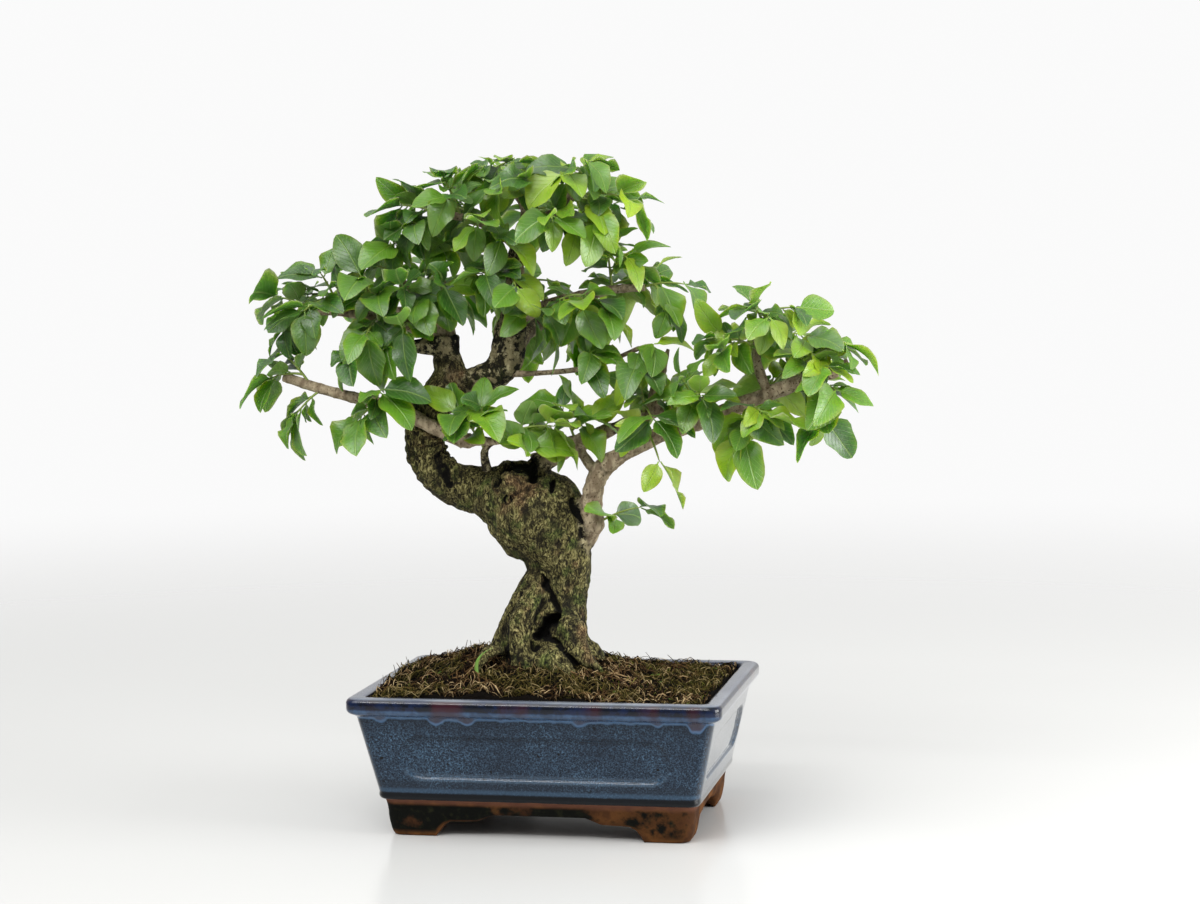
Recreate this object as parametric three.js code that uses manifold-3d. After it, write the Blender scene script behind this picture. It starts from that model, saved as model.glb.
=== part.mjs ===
// Mandarin bonsai: a small-leaved tree in a glazed rectangular pot, in millimetres, +Z up.
// The tree and pot are laid out about the centre of the pot's foot plane. The last lines move
// everything so that the middle of the bounding box stands over the origin.

import * as THREE from "three";
import { mergeVertices } from "three/addons/utils/BufferGeometryUtils.js";
import Module from "manifold-3d";

const wasm = await Module();
wasm.setup();

// Driving dimensions of the pot
const POT_LENGTH = 250;
const POT_WIDTH = 192;
const POT_HEIGHT = 95;
const RIM_WIDTH = 12;
const LIP_DEPTH = 11;
const LIP_OVERHANG = 5.5;
const LIP_COVE = 2;
const WALL_TOP = POT_HEIGHT - LIP_DEPTH - LIP_COVE;
const FLOOR_UNDERSIDE = 16;
const FLOOR_TOP = 25;
const FLOOR_COVE = 12;
const GLAZE_LEVEL = 25.5;
const GLAZE_BEAD = 4;
const WALL_FOOT_INSET = 17;
const CAVITY_FOOT_INSET = 28;
const BAND_INSET = 21;
const CORNER_RADIUS = 9;
const CAVITY_CORNER = 5;
const CORNER_STEPS = 3;
const PANEL_DEPTH = 1.8;
const PANEL_CORNER = 14;
const PANEL_LOW = 40;
const PANEL_HIGH = 70;
const PANEL_MARGIN = 26;
const PANEL_END_MARGIN = 36;
const FOOT_WALL = 12;
const FOOT_TAPER = 4;
const DRAIN_RADIUS = 8;
const DRAIN_SIDES = 12;
const DRAIN_SPACING = 100;
const MESH_SIZE = 34;
const MESH_THICKNESS = 1.2;
const MESH_BAR = 4;

// Driving dimensions of the soil and the plants
const GAP = 0.3;
const SOIL_GAP = 0.5;
const SOIL_EDGE_LEVEL = 91;
const SOIL_RIM_DROP = 3.5;
const SOIL_SHOULDER = 1.2;
const SOIL_SHARES = [0.96, 0.84, 0.66, 0.44, 0.2];
const MOUND_HEIGHT = 25;
const MOUND_CENTRE = [-25, 0];
const MOUND_SPREAD = [54, 48];
const LEAF_THICKNESS = 0.85;
const LEAF_LENGTH = 28;
const LARGE_LEAF = 35;
const LEAF_SPACING = 3.4;
const LEAF_TRIES = 10;
const TURN_PER_TRY = 0.25;
const SHRINK_PER_TRY = 0.04;
const STEM_HALF = 1.05;
const STEM_TIP_HALF = 0.75;
const STEM_LIFT = 0.14;
const STEM_FORK = 0.28;
const FORK_STEP = 2.6;
const LEAF_BASE_WIDTH = 1.8;
const STEM_SAMPLES = 10;
const STEM_CLEARANCE = 2.4;
const WOOD_SAMPLES = 8;
const WOOD_CLEARANCE = 1.2;
const OWN_LEAF_SPACING = 2;
const OWN_CLEAR_FROM = 0.4;
const STALK_SHARE = 0.12;
const SAMPLE_STATIONS = [0.16, 0.3, 0.44, 0.58, 0.72, 0.86, 1];
const SMALL_OUTLINE = [[0.36, 1], [0.68, 0.8]];
const LARGE_OUTLINE = [[0.2, 0.5], [0.46, 1], [0.76, 0.62]];
const FIRST_PAIR = 0.5;
const HANGING_FROM = -9;
const HANGING_DROOP = 0.45;
const PAIR_SPACING = 13;
const PAIR_ROLLS = [-0.3, 0.9];
const LUMP_DETAIL = 1;
const LAYOUT_SEED = 61;
const CROWN_LOW = [-217, -84, 196];
const CROWN_HIGH = [219, 112, 451];

const UP = new THREE.Vector3(0, 0, 1);
const CROWN = new THREE.Box3(new THREE.Vector3(...CROWN_LOW), new THREE.Vector3(...CROWN_HIGH));

// Solids from meshes and back

function toSolid(geometry) {
  const bare = geometry.clone();
  bare.deleteAttribute("normal");
  bare.deleteAttribute("uv");
  const merged = mergeVertices(bare, 1e-4);
  const mesh = new wasm.Mesh({
    numProp: 3,
    vertProperties: Float32Array.from(merged.attributes.position.array),
    triVerts: Uint32Array.from(merged.index.array),
  });
  return new wasm.Manifold(mesh);
}

function toGeometry(solid) {
  const mesh = solid.getMesh();
  const geometry = new THREE.BufferGeometry();
  geometry.setAttribute("position", new THREE.BufferAttribute(mesh.vertProperties, 3));
  geometry.setIndex(new THREE.BufferAttribute(mesh.triVerts, 1));
  geometry.computeVertexNormals();
  return geometry;
}

function joined(solids) {
  return solids.reduce((whole, solid) => whole.add(solid));
}

function largestBody(solid) {
  const bodies = solid.decompose();
  return bodies.reduce((best, body) => (body.volume() > best.volume() ? body : best));
}

function placed(geometry, x, y, z) {
  return toSolid(geometry.clone().translate(x, y, z));
}

function ellipsoid(centre, radii) {
  const geometry = new THREE.IcosahedronGeometry(1, LUMP_DETAIL);
  geometry.scale(...radii);
  return placed(geometry, ...centre);
}

// A closed body through rings that all have the same number of points, flat at both ends
function ringBody(rings) {
  const count = rings[0].length;
  const corners = rings.flat();
  const faces = [];
  for (let level = 0; level + 1 < rings.length; level += 1) {
    for (let i = 0; i < count; i += 1) {
      const a = level * count + i;
      const b = level * count + ((i + 1) % count);
      faces.push(a, b, b + count, a, b + count, a + count);
    }
  }
  for (const [ring, level, turned] of [[rings[0], 0, true], [rings.at(-1), rings.length - 1, false]]) {
    const middle = ring.reduce((sum, p) => sum.add(p), new THREE.Vector3()).divideScalar(count);
    const centre = corners.push(middle) - 1;
    for (let i = 0; i < count; i += 1) {
      const a = level * count + i;
      const b = level * count + ((i + 1) % count);
      faces.push(...(turned ? [b, a, centre] : [a, b, centre]));
    }
  }
  const geometry = new THREE.BufferGeometry().setFromPoints(corners);
  geometry.setIndex(faces);
  return toSolid(geometry);
}

// The pot: rounded rectangles stacked from the base band over the lip and down to the floor

function roundedOutline(halfX, halfY, corner, steps) {
  const points = [];
  const centres = [[1, 1], [-1, 1], [-1, -1], [1, -1]];
  centres.forEach(([sx, sy], quarter) => {
    for (let i = 0; i <= steps; i += 1) {
      const angle = (quarter + i / steps) * Math.PI / 2;
      const x = sx * (halfX - corner) + corner * Math.cos(angle);
      const y = sy * (halfY - corner) + corner * Math.sin(angle);
      points.push([x, y]);
    }
  });
  return points;
}

function potRing([z, inset, corner]) {
  const outline = roundedOutline(POT_LENGTH / 2 - inset, POT_WIDTH / 2 - inset, corner, CORNER_STEPS);
  return outline.map(([x, y]) => new THREE.Vector3(x, y, z));
}

// The outer wall leans in from under the lip to its foot
function wallInset(z) {
  const low = GLAZE_LEVEL + GLAZE_BEAD;
  return LIP_OVERHANG + (WALL_FOOT_INSET - LIP_OVERHANG) * (WALL_TOP - z) / (WALL_TOP - low);
}

// The pot's profile from the floor's underside up the outside, over the rim and down the
// inside: level, inset from the lip's outline, and corner radius
const POT_PROFILE = [
  [FLOOR_UNDERSIDE, BAND_INSET + 1, CORNER_RADIUS - 1],
  [FLOOR_UNDERSIDE + 5, BAND_INSET, CORNER_RADIUS - 1],
  [GLAZE_LEVEL - 1, BAND_INSET - 0.5, CORNER_RADIUS - 1],
  [GLAZE_LEVEL, WALL_FOOT_INSET + 0.5, CORNER_RADIUS - 1],
  [GLAZE_LEVEL + GLAZE_BEAD, WALL_FOOT_INSET, CORNER_RADIUS - 1],
  [WALL_TOP, LIP_OVERHANG, CORNER_RADIUS],
  [WALL_TOP + 1.5, 2, CORNER_RADIUS],
  [WALL_TOP + 4, 0, CORNER_RADIUS],
  [POT_HEIGHT - 2.5, 0, CORNER_RADIUS],
  [POT_HEIGHT, 2.5, CORNER_RADIUS - 1],
  [POT_HEIGHT, RIM_WIDTH - 1.5, CAVITY_CORNER + 1],
  [POT_HEIGHT - 1.5, RIM_WIDTH, CAVITY_CORNER],
  [FLOOR_TOP + FLOOR_COVE, CAVITY_FOOT_INSET - 3, CAVITY_CORNER],
  [FLOOR_TOP, CAVITY_FOOT_INSET, CAVITY_CORNER],
];

// The foot ring hangs under the floor, and the two cutters leave a bracket foot at each corner.
// Each half profile runs from the foot's inner toe up over the step to the middle of the side.
const FRONT_SCALLOP = [[70, -1], [68.5, 3], [64, 8.4], [60, 10], [42, 10.6], [37, 12.8], [32, 15.8]];
const SIDE_SCALLOP = [[44, -1], [42.5, 3], [38, 8.4], [34.5, 10], [26, 10.6], [22, 12.8], [17, 15.8]];

function scallopCutter(profile, turn) {
  const shape = new THREE.Shape();
  profile.forEach(([x, z], i) => (i ? shape.lineTo(x, z) : shape.moveTo(x, z)));
  [...profile].reverse().forEach(([x, z]) => shape.lineTo(-x, z));
  const geometry = new THREE.ExtrudeGeometry(shape, { depth: 2 * POT_LENGTH, bevelEnabled: false });
  geometry.translate(0, 0, -POT_LENGTH);
  geometry.rotateX(Math.PI / 2);
  geometry.rotateZ(turn);
  return toSolid(geometry);
}

const FOOT_INSET = BAND_INSET + FOOT_TAPER;
const FOOT_PROFILE = [
  [0, FOOT_INSET, CORNER_RADIUS - 2],
  [1.5, FOOT_INSET - 1.2, CORNER_RADIUS - 1],
  [FLOOR_UNDERSIDE - 3, BAND_INSET + 1, CORNER_RADIUS - 1],
  [FLOOR_UNDERSIDE + 3, BAND_INSET + 1.5, CORNER_RADIUS - 1],
];
const FOOT_HOLLOW = [
  [-1, FOOT_INSET + FOOT_WALL, CAVITY_CORNER - 1],
  [FLOOR_UNDERSIDE, FOOT_INSET + FOOT_WALL, CAVITY_CORNER - 1],
];

function bracketFeet() {
  return ringBody(FOOT_PROFILE.map(potRing))
    .subtract(ringBody(FOOT_HOLLOW.map(potRing)))
    .subtract(scallopCutter(FRONT_SCALLOP, 0))
    .subtract(scallopCutter(SIDE_SCALLOP, Math.PI / 2));
}

// A sunk panel: a rounded plate laid on the sloping wall and cut to the panel's depth
function panelCutter(halfLength, wallHalf, turn) {
  const middle = (PANEL_LOW + PANEL_HIGH) / 2;
  const slope = Math.atan2(wallInset(PANEL_LOW) - wallInset(PANEL_HIGH), PANEL_HIGH - PANEL_LOW);
  const outline = roundedOutline(halfLength, (PANEL_HIGH - PANEL_LOW) / 2, PANEL_CORNER, CORNER_STEPS);
  const shape = new THREE.Shape(outline.map(([x, y]) => new THREE.Vector2(x, y)));
  const geometry = new THREE.ExtrudeGeometry(shape, { depth: 10, bevelEnabled: false });
  geometry.translate(0, 0, -PANEL_DEPTH);
  geometry.rotateX(Math.PI / 2 + slope);
  geometry.translate(0, -(wallHalf - wallInset(middle)), middle);
  geometry.rotateZ(turn);
  return toSolid(geometry);
}

function makePot() {
  let pot = ringBody(POT_PROFILE.map(potRing)).add(bracketFeet());
  for (const turn of [0, Math.PI]) {
    pot = pot.subtract(panelCutter(POT_LENGTH / 2 - PANEL_END_MARGIN, POT_WIDTH / 2, turn));
    pot = pot.subtract(panelCutter(POT_WIDTH / 2 - PANEL_MARGIN, POT_LENGTH / 2, turn + Math.PI / 2));
  }
  const drill = new THREE.CylinderGeometry(DRAIN_RADIUS, DRAIN_RADIUS, 2 * FLOOR_TOP, DRAIN_SIDES);
  drill.rotateX(Math.PI / 2);
  for (const side of [-1, 1]) {
    pot = pot.subtract(placed(drill, side * DRAIN_SPACING / 2, 0, FLOOR_TOP));
  }
  return pot;
}

// A plastic mesh square with three by three openings, flat on the floor over its drain hole
function makeDrainMesh(side) {
  const pitch = MESH_SIZE / 3;
  const opening = new THREE.BoxGeometry(pitch - MESH_BAR, pitch - MESH_BAR, 2 * MESH_THICKNESS);
  let mesh = toSolid(new THREE.BoxGeometry(MESH_SIZE, MESH_SIZE, MESH_THICKNESS));
  for (const x of [-1, 0, 1]) {
    for (const y of [-1, 0, 1]) {
      mesh = mesh.subtract(placed(opening, x * pitch, y * pitch, 0));
    }
  }
  return mesh.translate([side * DRAIN_SPACING / 2, 0, FLOOR_TOP + GAP + MESH_THICKNESS / 2]);
}

// Wood routes, lowest or innermost point first: x, y, z and the radius there
const TRUNK = [
  [-7, 0, 84, 27], [-7, -1, 104, 30], [-6, -1, 127, 26], [-3, 0, 148, 22], [1, 0, 166, 21],
  [-1, 0, 183, 25], [-9, 0, 199, 31], [-19, 0, 213, 32], [-27, 0, 226, 24],
];
const WOOD = {
  bent_limb: [
    [-36, 0, 221, 18], [-54, -2, 224, 16.5], [-70, -6, 228, 14.5], [-83, -9, 239, 13.5],
    [-89, -10, 255, 12.5], [-88, -9, 272, 12.5], [-80, -6, 288, 12], [-71, -3, 301, 10.5],
  ],
  left_stem: [[-70, -3, 297, 10.5], [-74, -3, 312, 8.6], [-75, -2, 328, 8]],
  left_knob: [[-75, -2, 322, 6.4], [-89, -4, 322, 5.4], [-103, -6, 322, 4.2]],
  left_branch: [
    [-77, -2, 325, 5], [-98, -4, 335, 4.2], [-120, -6, 341, 3.5], [-144, -8, 345, 2.9],
    [-167, -8, 346, 2.2],
  ],
  left_up: [
    [-75, 0, 325, 5.5], [-87, 2, 341, 4.2], [-100, 3, 353, 3.5], [-108, 4, 370, 2.8], [-110, 4, 386, 2.2],
  ],
  left_back: [[-74, 0, 322, 5], [-84, 18, 334, 4], [-100, 36, 342, 3.2], [-122, 50, 345, 2.4]],
  left_inner: [[-73, 1, 326, 5], [-77, 8, 348, 3.6], [-81, 10, 369, 2.8], [-80, 8, 386, 2.2]],
  right_stem: [
    [-71, -3, 295, 8.5], [-55, -3, 298, 8], [-41, -1, 303, 9], [-33, 0, 314, 10.6], [-31, 0, 328, 10],
    [-28, 0, 344, 7.6], [-27, 0, 363, 5.9], [-26, 0, 384, 4.8], [-22, 0, 396, 4],
  ],
  apex_right: [
    [-25, 0, 390, 4], [-11, -2, 404, 3.4], [4, -4, 412, 3], [13, -5, 421, 2.5], [19, -5, 437, 1.8],
  ],
  apex_left: [[-26, 0, 390, 4], [-41, -3, 401, 3.2], [-59, -5, 408, 2.8], [-79, -6, 411, 2.1]],
  apex_up: [[-23, 0, 393, 3.6], [-20, 3, 413, 2.8], [-30, 3, 428, 2.2], [-39, 3, 438, 1.8]],
  apex_back: [[-25, 1, 388, 3.6], [-20, 18, 402, 3], [-24, 36, 412, 2.2]],
  mid_right: [[-30, 0, 338, 5], [-4, 3, 349, 4.2], [20, 5, 355, 3.8], [41, 6, 359, 3.1], [61, 6, 360, 2.3]],
  mid_twig: [
    [-36, -2, 303, 3], [-17, -3, 303, 1.9], [11, -4, 305, 1.7], [32, -5, 309, 1.6], [59, -6, 320, 1.5],
  ],
  back_limb: [[-32, 2, 320, 7], [-24, 28, 330, 5], [-16, 56, 338, 3.8], [-2, 82, 342, 2.6]],
  main_right: [
    [6, -2, 178, 9], [20, -5, 196, 9.5], [25, -8, 215, 7.6], [30, -9, 234, 6.8], [43, -10, 247, 6.3],
    [63, -10, 258, 5.9], [90, -10, 268, 5.5], [117, -10, 278, 5.3], [147, -10, 290, 5.2],
    [177, -10, 301, 5], [200, -10, 309, 5],
  ],
  second_right: [
    [-18, 0, 230, 11], [-10, 0, 242, 7.8], [4, -2, 251, 6.3], [25, -3, 260, 5.5], [46, -2, 268, 4.8],
    [66, 0, 276, 4.2], [91, 8, 281, 3.4], [114, 18, 288, 2.6],
  ],
  fork: [[13, -2, 255, 3.6], [20, -5, 247, 3.2], [28, -8, 238, 3.8]],
  head_twig: [[-46, -8, 236, 3.4], [-46, -14, 252, 2.4], [-34, -18, 262, 1.9]],
  cut_branch: [
    [-62, -8, 258, 5.2], [-82, -21, 269, 4.8], [-96, -24, 277, 4.6], [-116, -24, 284, 4.1],
    [-138, -23, 289, 3.8], [-161, -22, 295, 3.5], [-184, -20, 302, 3.3],
  ],
  dead_stub: [[66, 0, 276, 4.8], [70, -2, 293, 4.4], [74, -3, 307, 3], [78, -3, 319, 1.1]],
  right_up: [[146, -10, 289, 3.6], [139, -9, 308, 3], [138, -8, 322, 2.5], [142, -8, 340, 1.8]],
};
const WOOD_SIDES = {
  bent_limb: 9, right_stem: 7, left_stem: 7, main_right: 6, second_right: 6, cut_branch: 6, back_limb: 6,
};
const HEAD = { centre: [-27, 0, 219], radii: [33, 28, 24] };
const KNOTS = [
  { centre: [-31, -22, 228], radii: [11, 9, 10] },
  { centre: [17, 0, 205], radii: [12, 13, 14] },
  { centre: [-72, -3, 299], radii: [13, 11, 10] },
];
const HOLLOWS = [
  { centre: [-9, -27, 127], radii: [5, 8, 9] },
  { centre: [-33, -29, 233], radii: [6, 6, 5] },
];
const RIBS_END = 0.45;
// Each root: direction in degrees from +X, how far it reaches, and its thickness
const ROOTS = [
  [-168, 48, 12], [-130, 40, 11], [-72, 36, 13], [-30, 40, 12], [14, 38, 12], [72, 38, 12], [140, 42, 12],
];

function routeCurve(route) {
  const points = route.map(([x, y, z]) => new THREE.Vector3(x, y, z));
  return new THREE.CatmullRomCurve3(points, false, "catmullrom", 0.5);
}

function routeRadius(route, t) {
  const place = t * (route.length - 1);
  const i = Math.min(Math.floor(place), route.length - 2);
  return route[i][3] + (route[i + 1][3] - route[i][3]) * (place - i);
}

// A closed cylinder bent along a curve. The radius may vary along it and round it, and
// lengthened moves both end faces out.
function bentTube(curve, sides, steps, radiusAt, lengthened = 0) {
  const frames = curve.computeFrenetFrames(steps, false);
  const geometry = new THREE.CylinderGeometry(1, 1, 1, sides, steps);
  const position = geometry.attributes.position;
  const point = new THREE.Vector3();
  for (let i = 0; i < position.count; i += 1) {
    const ring = Math.round((position.getY(i) + 0.5) * steps);
    const t = curve.getUtoTmapping(ring / steps);
    const radius = radiusAt(t, Math.atan2(position.getZ(i), position.getX(i)));
    const end = ring === 0 ? -lengthened : ring === steps ? lengthened : 0;
    curve.getPointAt(ring / steps, point);
    point.addScaledVector(frames.normals[ring], position.getX(i) * radius);
    point.addScaledVector(frames.binormals[ring], -position.getZ(i) * radius);
    point.addScaledVector(frames.tangents[ring], end);
    position.setXYZ(i, point.x, point.y, point.z);
  }
  return toSolid(geometry);
}

// A limb follows its route. The relief multiplies the radius, and grown adds to it all round.
function limb(route, sides, steps, grown = 0, relief = () => 1) {
  const radiusAt = (t, angle) => routeRadius(route, t) * relief(t, angle) + grown;
  return bentTube(routeCurve(route), sides, steps, radiusAt, grown);
}

// Ribs run up from the roots and fade out at the waist, and low lumps go all the way up
function trunkRelief(t, angle) {
  const fade = Math.max(0, 1 - t / RIBS_END);
  const ribs = 0.5 * Math.sin(5 * angle + 0.6) + 0.5 * Math.sin(3 * angle + 2.1);
  const lumps = 0.035 * Math.sin(2 * angle + 9 * t) + 0.025 * Math.sin(4 * angle - 14 * t);
  return 1 + 0.1 * fade * ribs + lumps;
}

function rootRoute([degrees, reach, thickness]) {
  const angle = degrees * Math.PI / 180;
  const at = (distance, z, radius) => [
    TRUNK[1][0] + distance * Math.cos(angle), distance * Math.sin(angle), z, radius,
  ];
  return [
    at(6, 134, thickness * 0.95), at(0.5 * reach, 117, thickness), at(0.85 * reach, 107, thickness * 0.85),
    at(1.1 * reach, 95, thickness * 0.6),
  ];
}

function makeWood(grown) {
  const pieces = [limb(TRUNK, 12, 9, grown, trunkRelief)];
  for (const [name, route] of Object.entries(WOOD)) {
    pieces.push(limb(route, WOOD_SIDES[name] ?? 5, Math.max(2, route.length - 1), grown));
  }
  for (const root of ROOTS) {
    pieces.push(limb(rootRoute(root), 5, 3, grown));
  }
  for (const { centre, radii } of [HEAD, ...KNOTS]) {
    pieces.push(ellipsoid(centre, radii.map((r) => r + grown)));
  }
  return joined(pieces);
}

function makeTrunk() {
  let trunk = makeWood(0);
  for (const { centre, radii } of HOLLOWS) {
    trunk = trunk.subtract(ellipsoid(centre, radii));
  }
  return largestBody(trunk);
}

// The soil fills the pot and rises in a low mound under the tree

function soilHeight(x, y) {
  const [cx, cy] = MOUND_CENTRE;
  const [sx, sy] = MOUND_SPREAD;
  const mound = MOUND_HEIGHT * Math.exp(-((x - cx) ** 2) / (2 * sx * sx) - ((y - cy) ** 2) / (2 * sy * sy));
  const crumbs = 0.9 * Math.sin(0.21 * x + 0.13 * y) + 0.8 * Math.sin(0.17 * x - 0.24 * y + 1.3);
  return SOIL_EDGE_LEVEL + mound + crumbs;
}

function soilRing(inset, share, corner, level) {
  const halfX = (POT_LENGTH / 2 - inset) * share;
  const halfY = (POT_WIDTH / 2 - inset) * share;
  const outline = roundedOutline(halfX, halfY, corner, CORNER_STEPS);
  return outline.map(([x, y]) => new THREE.Vector3(x, y, level(x, y)));
}

function makeSoil(grownWood, grassRoot) {
  const foot = CAVITY_FOOT_INSET + SOIL_GAP;
  const shoulder = RIM_WIDTH + SOIL_GAP + SOIL_SHOULDER;
  const shoulderLevel = (x, y) => Math.min(soilHeight(x, y), POT_HEIGHT - SOIL_RIM_DROP) - 1.5;
  const rings = [
    soilRing(foot, 1, CAVITY_CORNER, () => FLOOR_TOP + GAP),
    soilRing(foot - 3, 1, CAVITY_CORNER, () => FLOOR_TOP + FLOOR_COVE),
    soilRing(shoulder, 1, CAVITY_CORNER, shoulderLevel),
    ...SOIL_SHARES.map((share) => {
      return soilRing(shoulder, share, CAVITY_CORNER + 30 * (1 - share) * share, soilHeight);
    }),
  ];
  let soil = ringBody(rings).subtract(grownWood).subtract(grassRoot);
  const pocket = new THREE.BoxGeometry(
    MESH_SIZE + 2 * GAP, MESH_SIZE + 2 * GAP, 2 * (MESH_THICKNESS + 2 * GAP),
  );
  for (const side of [-1, 1]) {
    soil = soil.subtract(placed(pocket, side * DRAIN_SPACING / 2, 0, FLOOR_TOP));
  }
  return largestBody(soil);
}

// A blade of grass in front of the trunk, in a plain hole
const GRASS = { foot: [-44, -52], height: 22, lean: 9, width: 3.4, depth: 7, thickness: 0.8 };

function grassBlade(grown) {
  const ground = soilHeight(...GRASS.foot) - GRASS.depth;
  const levels = [0, 0.3, 0.6, 0.85, 1];
  const rings = levels.map((share) => {
    const halfWidth = Math.max(0.5, GRASS.width / 2 * (1 - share ** 3)) + grown;
    const half = GRASS.thickness / 2 + grown;
    const x = GRASS.foot[0] + GRASS.lean * share * share;
    const z = ground - grown + (GRASS.height + GRASS.depth + 2 * grown) * share * (1 - 0.12 * share);
    return [[halfWidth, -half], [halfWidth, half], [-halfWidth, half], [-halfWidth, -half]].map(
      ([dx, dy]) => new THREE.Vector3(x + dx, GRASS.foot[1] + dy, z),
    );
  });
  return ringBody(rings);
}

// Leafy sprays: the branch that each grows from, the place along it from 0 to 1, and a row for
// each green stem with its tip's offset from the seat. Later stems fork from the first one.
const SPRAYS = {
  apex_crown: ["apex_right", 0.97, [[9, -6, 9], [-4, -22, 2]]],
  apex_east: ["apex_right", 0.74, [[38, -8, 0], [24, -20, -16]]],
  apex_east_front: ["apex_right", 0.45, [[6, -34, -4], [20, -22, -10]]],
  apex_east_back: ["apex_right", 0.6, [[16, 34, 8], [34, 24, -2]]],
  apex_top: ["apex_up", 0.95, [[-12, -4, 6], [10, -14, 8]]],
  apex_top_front: ["apex_up", 0.55, [[16, -28, 8], [-8, -30, 6]]],
  apex_top_back: ["apex_up", 0.75, [[-12, 34, 4], [16, 28, 8]]],
  apex_west: ["apex_left", 0.98, [[-24, -4, 6], [-12, -20, -6]]],
  apex_west_top: ["apex_left", 0.72, [[-10, -8, 26], [-2, -26, 14]]],
  apex_west_back: ["apex_left", 0.6, [[-16, 32, 12], [-30, 24, 8]]],
  apex_west_front: ["apex_left", 0.36, [[-2, -32, 2], [14, -26, -8]]],
  apex_back_tip: ["apex_back", 0.97, [[-4, 26, 0], [22, 16, 2]]],
  left_tip: ["left_branch", 0.98, [[-24, -6, 10], [-18, -16, -12]]],
  left_outer: ["left_branch", 0.78, [[-12, -6, 27], [-26, 8, 12], [-16, -32, 2]]],
  left_mid_top: ["left_branch", 0.52, [[-6, -16, 28], [-24, -14, 22]]],
  left_mid_front: ["left_branch", 0.5, [[0, -34, -10], [-14, -28, -22]]],
  left_inner_front: ["left_branch", 0.26, [[4, -36, 0], [-12, -32, -14]]],
  left_back_tip: ["left_back", 0.98, [[-28, 8, 6], [-14, 24, -6]]],
  left_back_top: ["left_back", 0.62, [[-8, 12, 26], [14, 28, 14], [-4, 8, 38]]],
  left_crown: ["left_up", 0.98, [[-12, 2, 9], [4, -20, 6]]],
  left_crown_west: ["left_up", 0.75, [[-26, -18, 8], [-32, 2, 6]]],
  left_crown_front: ["left_up", 0.5, [[4, -36, 10], [-14, -32, 6]]],
  inner_crown: ["left_inner", 0.97, [[6, -8, 8], [20, 10, 8]]],
  inner_front: ["left_inner", 0.5, [[10, -36, 4], [-8, -34, -6], [32, -18, 12]]],
  stem_west_front: ["right_stem", 0.78, [[-14, -30, 4], [8, -32, -6]]],
  stem_east_front: ["right_stem", 0.6, [[26, -26, 6], [32, -10, -8]]],
  stem_back: ["right_stem", 0.72, [[-8, 36, 8], [20, 30, 6]]],
  mid_tip: ["mid_right", 0.98, [[30, -4, 2], [20, -16, -14]]],
  mid_top: ["mid_right", 0.72, [[-2, -6, 30], [14, -12, 24]]],
  mid_front: ["mid_right", 0.5, [[4, -32, -6], [22, -24, -12], [-12, -26, -2]]],
  mid_back: ["mid_right", 0.66, [[8, 34, 4], [28, 24, 8]]],
  back_tip: ["back_limb", 0.97, [[16, 18, 4], [-14, 20, -2]]],
  back_west: ["back_limb", 0.7, [[-34, 14, 8], [-26, 22, -12]]],
  back_east: ["back_limb", 0.55, [[34, 16, 6], [30, 2, -10]]],
  twig_tip: ["mid_twig", 0.97, [[14, -6, 4], [6, -14, -10]]],
  twig_mid: ["mid_twig", 0.62, [[8, -14, 12]]],
  head_east: ["head_twig", 0.95, [[40, -8, 8], [24, -14, -8]]],
  head_west: ["head_twig", 0.5, [[-14, -16, 26], [2, -14, 30]]],
  second_top: ["second_right", 0.36, [[-8, -14, 26], [14, -18, 18]]],
  second_mid: ["second_right", 0.68, [[2, -22, 22], [10, -28, 0], [26, -4, 14]]],
  second_back: ["second_right", 0.72, [[10, 32, 10], [-14, 30, 14]]],
  right_inner: ["main_right", 0.52, [[-6, -22, 8], [8, -20, -14]]],
  right_rise: ["main_right", 0.64, [[-10, -18, 30], [4, -24, 18]]],
  right_crown: ["right_up", 0.97, [[-4, -4, 9], [24, -8, 8], [8, -26, 2]]],
  right_crown_west: ["right_up", 0.62, [[-26, -10, 8], [-20, -24, -2]]],
  right_crown_back: ["right_up", 0.7, [[4, 34, 4], [26, 24, 4]]],
  right_outer_top: ["main_right", 0.86, [[8, -12, 32], [30, -8, 26], [20, -24, 12]]],
  right_outer_low: ["main_right", 0.9, [[6, -14, -26], [16, -20, -8]]],
  right_low: ["main_right", 0.76, [[-4, -16, -22], [10, -26, -6]]],
  right_back: ["main_right", 0.8, [[-2, 36, 8], [26, 30, 6], [20, 10, 20]]],
  low_twig: ["main_right", 0.1, [[40, -8, 18]]],
  cut_west: ["cut_branch", 0.86, [[-18, -4, 22], [-26, -2, 6]]],
  cut_low: ["cut_branch", 0.8, [[-16, -8, -16]]],
  cut_inner: ["cut_branch", 0.5, [[-10, -12, -8], [4, -14, 10]]],
};

// Leaf and stem layout: numbers that come out the same on every run
let state = LAYOUT_SEED;

function draw(low, high) {
  state = (state * 16807) % 2147483647;
  return low + (high - low) * state / 2147483647;
}

function stemCurve(start, offset) {
  const lift = STEM_LIFT * offset.length();
  const middle = start.clone().addScaledVector(offset, 0.5).addScaledVector(UP, lift);
  return new THREE.QuadraticBezierCurve3(start, middle, start.clone().add(offset));
}

// The stems of a spray as curves, the first from the branch's axis and the rest from the fork
function sprayStems([branch, place, offsets]) {
  const seat = routeCurve(WOOD[branch]).getPoint(place);
  const [first, ...rest] = offsets.map((offset) => new THREE.Vector3(...offset));
  const main = stemCurve(seat, first);
  const fork = main.getPoint(STEM_FORK);
  const forked = rest.map((offset) => stemCurve(fork, offset.clone().add(seat).sub(fork)));
  return [main, ...forked].map((curve) => ({ curve, pairs: [] }));
}

function stemHalf(u) {
  return STEM_HALF + (STEM_TIP_HALF - STEM_HALF) * u;
}

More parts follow.
